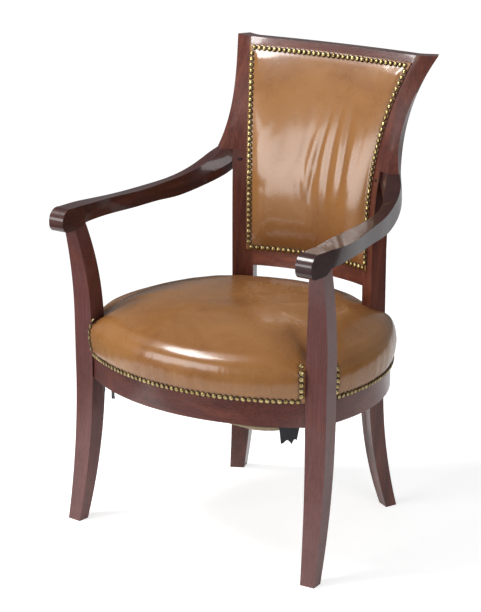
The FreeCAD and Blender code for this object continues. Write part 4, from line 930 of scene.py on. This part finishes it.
class ARMCHAIR_OT_back_cushion(bpy.types.Operator):
    """Build the back's padded leather panel, swell it and draw its pull folds"""
    bl_idname = "armchair.back_cushion"
    bl_label = "Back cushion"

    def execute(self, context):
        settings = context.scene.armchair_leather
        wide, tall = 112, 128
        rows = []
        for step in range(tall + 1):
            z = BACK_LOW + (BACK_HIGH - BACK_LOW) * step / tall
            edge = back_edge(z) - 0.0006
            row = []
            for turn in range(wide + 1):
                x = edge * (2 * turn / wide - 1)
                row.append(back_face(x, z, LEATHER + BACK_FILL * back_puff(x, z)))
            for turn in range(wide + 1):
                x = edge * (1 - 2 * turn / wide)
                row.append(back_face(x, z, 0.0004))
            rows.append(row)
        mesh = grid_mesh("back_cushion", rows, closed=True)
        count = 2 * (wide + 1)
        with reworked(mesh) as shape:
            for start in (0, tall * count):
                for step in range(wide):
                    shape.faces.new([shape.verts[start + index] for index in (
                        step, step + 1, count - 2 - step, count - 1 - step)])
        mesh.shade_smooth()
        piece = piece_of("back_cushion", mesh, "leather")
        def held(point):
            behind = back_face(point.x, point.z).y - point.y
            free = clamped(back_puff(point.x, point.z) * 1.3 - 0.15) if behind > 0.003 else 0.0
            return 1.0 - 0.999 * free

        swollen(piece, held, settings.swell_back)
        painted_shades = []
        for vertex in mesh.vertices:
            x, y, z = vertex.co
            front = back_face(x, z).y - y > 0.002
            full = back_puff(x, z) if front else 0.0
            lift, crease = 0.0, 0.0
            for (tx, tz), (fx, fz), share, width in BACK_FOLDS:
                along = (tz - z) / (tz - fz)
                if not -0.15 < along < 1.15:
                    continue
                middle = tx + (fx - tx) * along + 0.003 * math.sin(along * 5 + tx * 60)
                fade = max(0.0, 1 - abs(2 * along - 1) ** 2.2 / 1.9) ** 1.6
                ridge = math.exp(-((x - middle) / width) ** 2)
                valley = math.exp(-((x - middle - 1.7 * width) / width) ** 2)
                lift += share * fade * (ridge - 0.75 * valley) * settings.pull
                crease = max(crease, share * fade * valley)
            slack = waver(x * 16, z * 8, 1.3) * 0.0014 + waver(x * 45, z * 14, 5.2) * 0.0005
            vertex.co.y -= (lift + slack) * full
            # Painted shade: darker towards the foot of the back and in the pull folds' valleys.
            foot = clamped((0.60 - z) / 0.11) if front else 0.0
            painted_shades.append(max(min(1.0, crease * 0.5) * full, 0.8 * foot))
        mesh.update()
        pressed(mesh, nail_tree("back_nails"), 0.0008, 0.0066, 0.0060)
        note(mesh, "crease", painted_shades)
        mesh.update()
        ride(piece, "leather", "back_leather", "back_stuffing")
        return {"FINISHED"}


# Cloths and straps

def sheet_between(name, thickness, rows, finish):
    """A thin sheet through rows of points."""
    mesh = grid_mesh(name, rows)
    mesh.shade_smooth()
    piece = piece_of(name, mesh, finish)
    thickened(piece, thickness)
    return piece


def back_sheet(name, half, low, high, out, thickness, finish, ripple=0.0):
    """A sheet along the back's face, that far out in front of it, with half its width for each height."""
    rows = []
    tall, wide = 60, 50
    for step in range(tall + 1):
        z = low + (high - low) * step / tall
        reach = half(z)
        row = []
        for turn in range(wide + 1):
            x = reach * (2 * turn / wide - 1)
            row.append(back_face(x, z, out + ripple * waver(x * 20, z * 12, out * 90)))
        rows.append(row)
    return sheet_between(name, thickness, rows, finish)


def strap_piece(name, points, aside, half, thickness, finish):
    """A flat strap along points, that wide to each side."""
    turns = (-1, -0.94, -0.5, 0, 0.5, 0.94, 1)
    rows = [[Vector(point) + aside * (half * turn) for turn in turns] for point in points]
    return sheet_between(name, thickness, rows, finish)


def islands(shape):
    """The separate closed shells of a merged BMesh, as lists of faces."""
    shape.faces.ensure_lookup_table()
    seen, found = set(), []
    for face in shape.faces:
        if face.index in seen:
            continue
        group, queue = [], [face]
        seen.add(face.index)
        while queue:
            one = queue.pop()
            group.append(one)
            for edge in one.edges:
                for other in edge.link_faces:
                    if other.index not in seen:
                        seen.add(other.index)
                        queue.append(other)
        found.append(group)
    return found


def solid_tree(group):
    """The corners of a closed shell, and the tree that finds where a ray meets it."""
    corners = {vert for face in group for vert in face.verts}
    order = {vert: index for index, vert in enumerate(corners)}
    return corners, BVHTree.FromPolygons(
        [vert.co.copy() for vert in order], [[order[vert] for vert in face.verts] for face in group])


def strap_lines(node, axis):
    """Middle line of each strap of a CAD node, along an axis, from the strap's own solid."""
    count, end = 70, 0.0008
    shape = merged(node)
    found = []
    for group in islands(shape):
        corners, tree = solid_tree(group)
        low = Vector([min(vert.co[k] for vert in corners) for k in range(3)])
        high = Vector([max(vert.co[k] for vert in corners) for k in range(3)])
        middle, points = (low + high) / 2, []
        for step in range(count + 1):
            place = middle.copy()
            place[axis] = low[axis] + end + (high[axis] - low[axis] - 2 * end) * step / count
            top = tree.ray_cast(Vector((place.x, place.y, 1.0)), -UP)[0]
            foot = tree.ray_cast(Vector((place.x, place.y, 0.0)), UP)[0]
            if top and foot:
                points.append(Vector((place.x, place.y, (top.z + foot.z) / 2)))
        found.append((points, (high - low)[1 - axis] / 2))
    shape.free()
    return found


class ARMCHAIR_OT_webbing(bpy.types.Operator):
    """Stretch the jute webbing under the seat and behind the back"""
    bl_idname = "armchair.webbing"
    bl_label = "Webbing"

    def execute(self, context):
        for node, axis, aside, name in (
                ("seat_webbing_long", 1, Vector((1, 0, 0)), "strap_long"),
                ("seat_webbing_cross", 0, Vector((0, 1, 0)), "strap_cross")):
            for order, (points, half) in enumerate(strap_lines(node, axis)):
                piece = strap_piece(f"{name}_{order + 1}", points, aside, half, 0.0018, "jute_webbing")
                ride(piece, "jute_webbing")
                half * 2
            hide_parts(node)
        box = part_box("back_webbing")
        span = (box[1].x - box[0].x - 0.050) / 2
        first = None
        for order in range(3):
            x = span * (order - 1)
            depth = Vector((0, back_depth("back_webbing", x), 0))
            points = [back_face(x, box[0].z + (box[1].z - box[0].z) * step / 50) + depth for step in range(51)]
            piece = strap_piece(
                f"back_strap_{order + 1}", points, Vector((1, 0, 0)), 0.0245, 0.0012, "back_webbing")
            ride(piece, "jute_webbing")
            first = first or piece
        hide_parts("back_webbing")
        return {"FINISHED"}


def back_depth(node, x):
    """How far behind the back's face a flat node of the back lies."""
    shape = merged(node)
    tree = BVHTree.FromBMesh(shape)
    z = 0.66
    near = tree.ray_cast(Vector((x, -1.0, z)), Vector((0, 1, 0)))[0]
    far = tree.ray_cast(Vector((x, 1.0, z)), Vector((0, -1, 0)))[0]
    shape.free()
    return (near.y + far.y) / 2 - back_face(x, z).y


class ARMCHAIR_OT_cloths(bpy.types.Operator):
    """Lay the hessians and the leather on the outside of the back"""
    bl_idname = "armchair.cloths"
    bl_label = "Hessians and outside leather"

    def execute(self, context):
        depth = back_depth("outside_back_leather", 0.0)
        outer = back_sheet(
            "outside_leather", lambda z: back_edge(z) - 0.0012, 0.4732, 0.8668, -depth, 0.0018, "leather", 0.0009)
        pressed(outer.data, nail_tree("outside_back_nails"), 0.0, 0.0066, 0.0060)
        ride(outer, "leather", "outside_back_leather")
        low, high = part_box("back_hessian")
        depth = back_depth("back_hessian", 0.0)
        inner = back_sheet(
            "back_lining", lambda z: back_edge(z) - 0.019, low.z, high.z, -depth, 0.0009, "back_hessian")
        ride(inner, "hessian", "back_hessian")
        self.springs_cloth()
        return {"FINISHED"}

    def springs_cloth(self):
        """The hessian over the springs: flat in the middle and sloping to the rails."""
        sections = leg_sections()
        wide, top = 220, 0.3868
        rows = []
        for out, z in (
                *((out, top) for out in (-0.20, -0.16, -0.12, -0.08, -0.0515)),
                (-0.040, 0.3745), (-0.027, 0.3600), (-0.0145, 0.3462)):
            row = []
            for step in range(wide):
                angle = math.tau * step / wide
                reach = min(bow_reach(angle, out), leg_reach(angle, sections) - 0.002)
                row.append(seat_place(angle, reach, z))
            rows.append(row)
        mesh = grid_mesh("spring_cloth", rows, closed=True)
        with reworked(mesh) as shape:
            fan(shape, list(shape.verts)[:wide], (*SEAT_CENTRE, top))
        mesh.shade_smooth()
        piece = piece_of("spring_cloth", mesh, "spring_hessian")
        thickened(piece, 0.0010)
        ride(piece, "hessian", "spring_hessian")


def hung_rows(group):
    """Rows of a torn cloth that hangs in the middle of a thin upright solid, from its top line down."""
    wide, tall = 26, 16
    corners, tree = solid_tree(group)
    foot, high = min(vert.co.z for vert in corners), max(vert.co.z for vert in corners)
    upper = [vert.co.copy() for face in group for vert in face.verts if vert.co.z > high - 1e-4]
    left, right = max(((a, b) for a in upper for b in upper), key=lambda ends: (ends[1] - ends[0]).length)
    along = right - left
    away = Vector((along.y, -along.x, 0)).normalized()
    rows = []
    for step in range(tall + 1):
        share = step / tall
        row = []
        for turn in range(wide + 1):
            across = turn / wide
            tear = 1.35 - 0.8 * abs(waver(across * 2.4, left.x * 31, 0.5))
            place = left + along * (across * (1 - 0.22 * share) + 0.13 * share)
            place.z -= (left.z - foot) * share * tear
            near = tree.ray_cast(place + away, -away)[0]
            far = tree.ray_cast(place - away, away)[0]
            if near and far:
                place = (near + far) / 2
            swing = 0.0016 * share * waver(across * 2.4, share * 1.7, left.x * 17)
            row.append(place + away * swing)
        rows.append(row)
    return rows


class ARMCHAIR_OT_cloth_shreds(bpy.types.Operator):
    """Hang the torn remnants of the bottoming cloth and the torn strip of hessian under the rails"""
    bl_idname = "armchair.cloth_shreds"
    bl_label = "Cloth remnants"

    def execute(self, context):
        shape = merged("bottoming_cloth_remnants")
        first = None
        for order, group in enumerate(islands(shape)):
            rows = hung_rows(group)
            piece = sheet_between(f"cloth_shred_{order + 1}", 0.0007, rows, "black_cloth")
            ride(piece, "black_cloth")
            first = first or piece
        shape.free()
        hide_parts("bottoming_cloth_remnants")
        self.torn_strip()
        return {"FINISHED"}

    def torn_strip(self):
        """The hessian that sags behind the front rail: its middle surface, found in the frame's own solid."""
        shape = merged("bottom_hessian_scrap")
        tree = BVHTree.FromBMesh(shape)
        shape.free()
        centre, radius = Vector((*BOWS[0][0], 0)), BOWS[0][1] - 0.0125
        rows, long, wide = [], 40, 16
        for step in range(long + 1):
            angle = math.radians(-75.0 + 17.0 * step / long)
            out = Vector((math.cos(angle), math.sin(angle), 0))
            torn = 0.0385 - 0.004 * abs(waver(step * 0.45, 0.3, 7.7))
            row = []
            for turn in range(wide + 1):
                away = 0.0008 + torn * turn / wide
                place = centre + out * (radius - away)
                top = tree.ray_cast(place + UP, -UP)[0]
                foot = tree.ray_cast(place - UP, UP)[0]
                place.z = (top.z + foot.z) / 2 if top and foot else row[-1].z if row else 0.2818
                ripple = 0.0011 * waver(angle * 26, away * 60, 2.2) * min(1.0, away / 0.008)
                row.append(place - UP * abs(ripple))
            rows.append(row)
        piece = sheet_between("torn_hessian", 0.0009, rows, "spring_hessian")
        ride(piece, "hessian", "bottom_hessian_scrap")


# Nails: one dome on each nail of the frame, set by Geometry Nodes

NAILS = {}


def nails_of(node):
    """Foot and direction of each nail of a CAD node, from its flat underside."""
    if node in NAILS:
        return NAILS[node]
    shape = merged(node)
    found = []
    for group in islands(shape):
        flats = {}
        for face in group:
            key = tuple(round(part, 2) for part in face.normal)
            flats.setdefault(key, []).append(face)
        faces = max(flats.values(), key=lambda some: sum(face.calc_area() for face in some))
        area = sum(face.calc_area() for face in faces)
        foot = sum((face.calc_center_median() * face.calc_area() for face in faces), Vector()) / area
        found.append((foot, -faces[0].normal.copy()))
    shape.free()
    NAILS[node] = found
    return found


def nail_maker():
    """The node tree that sets a dome on every point, facing along the point's own direction."""
    tree = bpy.data.node_groups.new("dome_nails", "GeometryNodeTree")
    face = tree.interface
    face.new_socket("Geometry", in_out="INPUT", socket_type="NodeSocketGeometry")
    for name in ("Radius", "Height", "Wander"):
        face.new_socket(name, in_out="INPUT", socket_type="NodeSocketFloat")
    face.new_socket("Seed", in_out="INPUT", socket_type="NodeSocketInt")
    face.new_socket("Geometry", in_out="OUTPUT", socket_type="NodeSocketGeometry")
    nodes, links = tree.nodes, tree.links

    def add(kind, settings=None, *values, **sockets):
        made = nodes.new(kind)
        for key, value in (settings or {}).items():
            setattr(made, key, value)
        for key, value in (*enumerate(values), *sockets.items()):
            if isinstance(value, bpy.types.NodeSocket):
                links.new(value, made.inputs[key])
            elif value is not None:
                made.inputs[key].default_value = value
        return made

    given = nodes.new("NodeGroupInput").outputs
    ball = add("GeometryNodeMeshUVSphere", Segments=12, Rings=8, Radius=1.0)
    position = add("GeometryNodeInputPosition")
    parts = add("ShaderNodeSeparateXYZ", Vector=position.outputs[0])
    low = add("FunctionNodeCompare", {"data_type": "FLOAT", "operation": "LESS_THAN"}, parts.outputs["Z"], -0.05)
    cap = add("GeometryNodeDeleteGeometry", {"domain": "FACE"}, Geometry=ball.outputs["Mesh"],
              Selection=low.outputs[0])
    rise = add("GeometryNodeStoreNamedAttribute", {"data_type": "FLOAT", "domain": "POINT"},
               Geometry=cap.outputs[0], Name="rise", Value=parts.outputs["Z"])
    size = add("ShaderNodeCombineXYZ", X=given["Radius"], Y=given["Radius"], Z=given["Height"])
    dome = add("GeometryNodeTransform", Geometry=rise.outputs[0], Scale=size.outputs[0])
    facing = add("GeometryNodeInputNamedAttribute", {"data_type": "FLOAT_VECTOR"}, Name="facing")
    aim = add("FunctionNodeAlignRotationToVector", {"axis": "Z"}, Vector=facing.outputs[0])
    lean_most = add("ShaderNodeCombineXYZ", X=given["Wander"], Y=given["Wander"])
    lean_least = add("ShaderNodeVectorMath", {"operation": "SCALE"}, lean_most.outputs[0], Scale=-1.0)
    wander = add("FunctionNodeRandomValue", {"data_type": "FLOAT_VECTOR"},
                 lean_least.outputs[0], lean_most.outputs[0], Seed=given["Seed"])
    turned = add("FunctionNodeRotateRotation", {"rotation_space": "LOCAL"}, aim.outputs[0], wander.outputs[0])
    scale = add("FunctionNodeRandomValue", {"data_type": "FLOAT"}, None, None, 0.94, 1.04, Seed=given["Seed"])
    tint = add("FunctionNodeRandomValue", {"data_type": "FLOAT"}, Seed=given["Seed"])
    set_on = add("GeometryNodeInstanceOnPoints", Points=given["Geometry"], Instance=dome.outputs[0],
                 Rotation=turned.outputs[0], Scale=scale.outputs[1])
    tinted = add("GeometryNodeStoreNamedAttribute", {"data_type": "FLOAT", "domain": "INSTANCE"},
                 Geometry=set_on.outputs[0], Name="tint", Value=tint.outputs[1])
    real = add("GeometryNodeRealizeInstances", Geometry=tinted.outputs[0])
    smooth = add("GeometryNodeSetShadeSmooth", Geometry=real.outputs[0])
    finished = add("GeometryNodeSetMaterial", Geometry=smooth.outputs[0], Material=material("brass_nails"))
    out = nodes.new("NodeGroupOutput")
    links.new(finished.outputs[0], out.inputs[0])
    return tree


class ARMCHAIR_OT_nails(bpy.types.Operator):
    """Set the brass dome nails along the seat and round both faces of the back"""
    bl_idname = "armchair.nails"
    bl_label = "Brass nails"

    def execute(self, context):
        settings = context.scene.armchair_nails
        tree = nail_maker()
        sockets = {item.name: item.identifier for item in tree.interface.items_tree if item.in_out == "INPUT"}
        for order, node in enumerate(("seat_nails", "back_nails", "outside_back_nails")):
            nails = nails_of(node)
            mesh = bpy.data.meshes.new(node)
            mesh.from_pydata([tuple(place - way * 0.0004) for place, way in nails], [], [])
            note(mesh, "facing", [tuple(way) for place, way in nails], "FLOAT_VECTOR")
            piece = piece_of("dome_" + node, mesh)
            maker = piece.modifiers.new("nails", "NODES")
            maker.node_group = tree
            for name in ("Radius", "Height", "Wander"):
                maker[sockets[name]] = getattr(settings, name.lower())
            maker[sockets["Seed"]] = settings.seed + order
            settled(piece)
            with reworked(piece.data) as shape:
                rims = [edge for edge in shape.edges if edge.is_boundary]
                bmesh.ops.holes_fill(shape, edges=rims, sides=0)
            ride(piece, "brass_nails", node)
        return {"FINISHED"}


# Studio

def soft_lamp(name, way, distance, size, power):
    """A soft lamp that looks at the chair from a direction."""
    lamp = bpy.data.lights.new(name, "AREA")
    lamp.shape = "RECTANGLE"
    lamp.size, lamp.size_y = size
    lamp.energy = power
    made = bpy.data.objects.new(name, lamp)
    middle = Vector((0, 0, 0.45))
    way = Vector(way).normalized()
    made.location = middle + way * distance
    made.rotation_euler = way.to_track_quat("Z", "Y").to_euler()
    bpy.context.scene.collection.objects.link(made)


class ARMCHAIR_OT_studio(bpy.types.Operator):
    """Set up the pale floor, the soft lamps, the plain sky and the camera"""
    bl_idname = "armchair.studio"
    bl_label = "Floor, lamps and camera"

    def execute(self, context):
        scene, settings = context.scene, context.scene.armchair_studio
        # Lines of the floor, where the third and the fourth bound the white sheet
        across, along = (-14, -0.90, -0.80, 1.1, 1.2, 14), (-14, -0.95, -0.85, 9.0, 9.1, 14)
        mesh = grid_mesh("floor", [[(x, y, 0.0) for x in across] for y in along])
        note(mesh, "sheet", [float(x in across[2:4] and y in along[2:4]) for y in along for x in across])
        floor = piece_of("floor", mesh, "pale_floor")
        world = bpy.data.worlds.new("plain_sky")
        world.use_nodes = True
        tree = world.node_tree
        tree.nodes.clear()
        path = tree.nodes.new("ShaderNodeLightPath")
        seen = tree.nodes.new("ShaderNodeMath")
        seen.operation = "MAXIMUM"
        tree.links.new(path.outputs["Is Camera Ray"], seen.inputs[0])
        tree.links.new(path.outputs["Is Transmission Ray"], seen.inputs[1])
        choose, out = tree.nodes.new("ShaderNodeMixShader"), tree.nodes.new("ShaderNodeOutputWorld")
        tree.links.new(seen.outputs[0], choose.inputs[0])
        for order, colour, strength in ((1, (0.93, 0.96, 1.0), settings.sky), (2, (1, 1, 1), 1.0)):
            made = tree.nodes.new("ShaderNodeBackground")
            made.inputs["Color"].default_value, made.inputs["Strength"].default_value = rgba(colour), strength
            tree.links.new(made.outputs[0], choose.inputs[order])
        tree.links.new(choose.outputs[0], out.inputs[0])
        scene.world = world
        soft_lamp("key_lamp", (-0.44, -0.40, 0.80), 3.0, (1.1, 0.8), settings.key)
        soft_lamp("left_lamp", (-0.43, -0.89, 0.14), 3.0, (2.2, 1.1), settings.front * 1.15)
        soft_lamp("right_lamp", (0.88, -0.42, 0.22), 3.4, (1.9, 1.3), settings.front * 0.75)
        lens = bpy.data.cameras.new("camera")
        lens.lens = 123.14
        lens.sensor_width = 36
        camera = bpy.data.objects.new("camera", lens)
        # The camera's right, up and backward directions and its place, fitted to the photograph
        camera.matrix_world = Matrix((
            (0.8145, 0.5802, 0.0, 0), (-0.16722, 0.23476, 0.95757, 0), (0.55558, -0.77995, 0.2882, 0),
            (2.1634, -3.0913, 1.5559, 1))).transposed()
        scene.collection.objects.link(camera)
        scene.camera = camera
        scene.view_settings.view_transform = "Standard"
        return {"FINISHED"}


class ARMCHAIR_PT_sidebar(bpy.types.Panel):
    """Lists the armchair's pieces and the sizes that change them"""
    bl_idname = "ARMCHAIR_PT_sidebar"
    bl_label = "Mahogany Armchair"
    bl_space_type = "VIEW_3D"
    bl_region_type = "UI"
    bl_category = "Armchair"

    def draw(self, context):
        for group in GROUPS:
            settings = getattr(context.scene, group)
            for key in settings.__annotations__:
                self.layout.prop(settings, key)
        for step in STEPS:
            self.layout.operator(step.bl_idname)


GROUPS = {
    "armchair_timber": ArmchairTimber, "armchair_leather": ArmchairLeather,
    "armchair_nails": ArmchairNails, "armchair_studio": ArmchairStudio,
}
STEPS = (
    ARMCHAIR_OT_studio, ARMCHAIR_OT_timber, ARMCHAIR_OT_hidden_joinery, ARMCHAIR_OT_seat_cushion,
    ARMCHAIR_OT_back_cushion, ARMCHAIR_OT_webbing, ARMCHAIR_OT_cloths, ARMCHAIR_OT_cloth_shreds,
    ARMCHAIR_OT_nails,
)


def register():
    for name, group in GROUPS.items():
        bpy.utils.register_class(group)
        setattr(bpy.types.Scene, name, PointerProperty(type=group))
    for step in STEPS:
        bpy.utils.register_class(step)
    bpy.utils.register_class(ARMCHAIR_PT_sidebar)


def unregister():
    bpy.utils.unregister_class(ARMCHAIR_PT_sidebar)
    for step in reversed(STEPS):
        bpy.utils.unregister_class(step)
    for name, group in GROUPS.items():
        delattr(bpy.types.Scene, name)
        bpy.utils.unregister_class(group)


def main():
    register()
    for step in STEPS:
        kind, name = step.bl_idname.split(".")
        getattr(getattr(bpy.ops, kind), name)()


if __name__ == "__main__":
    main()
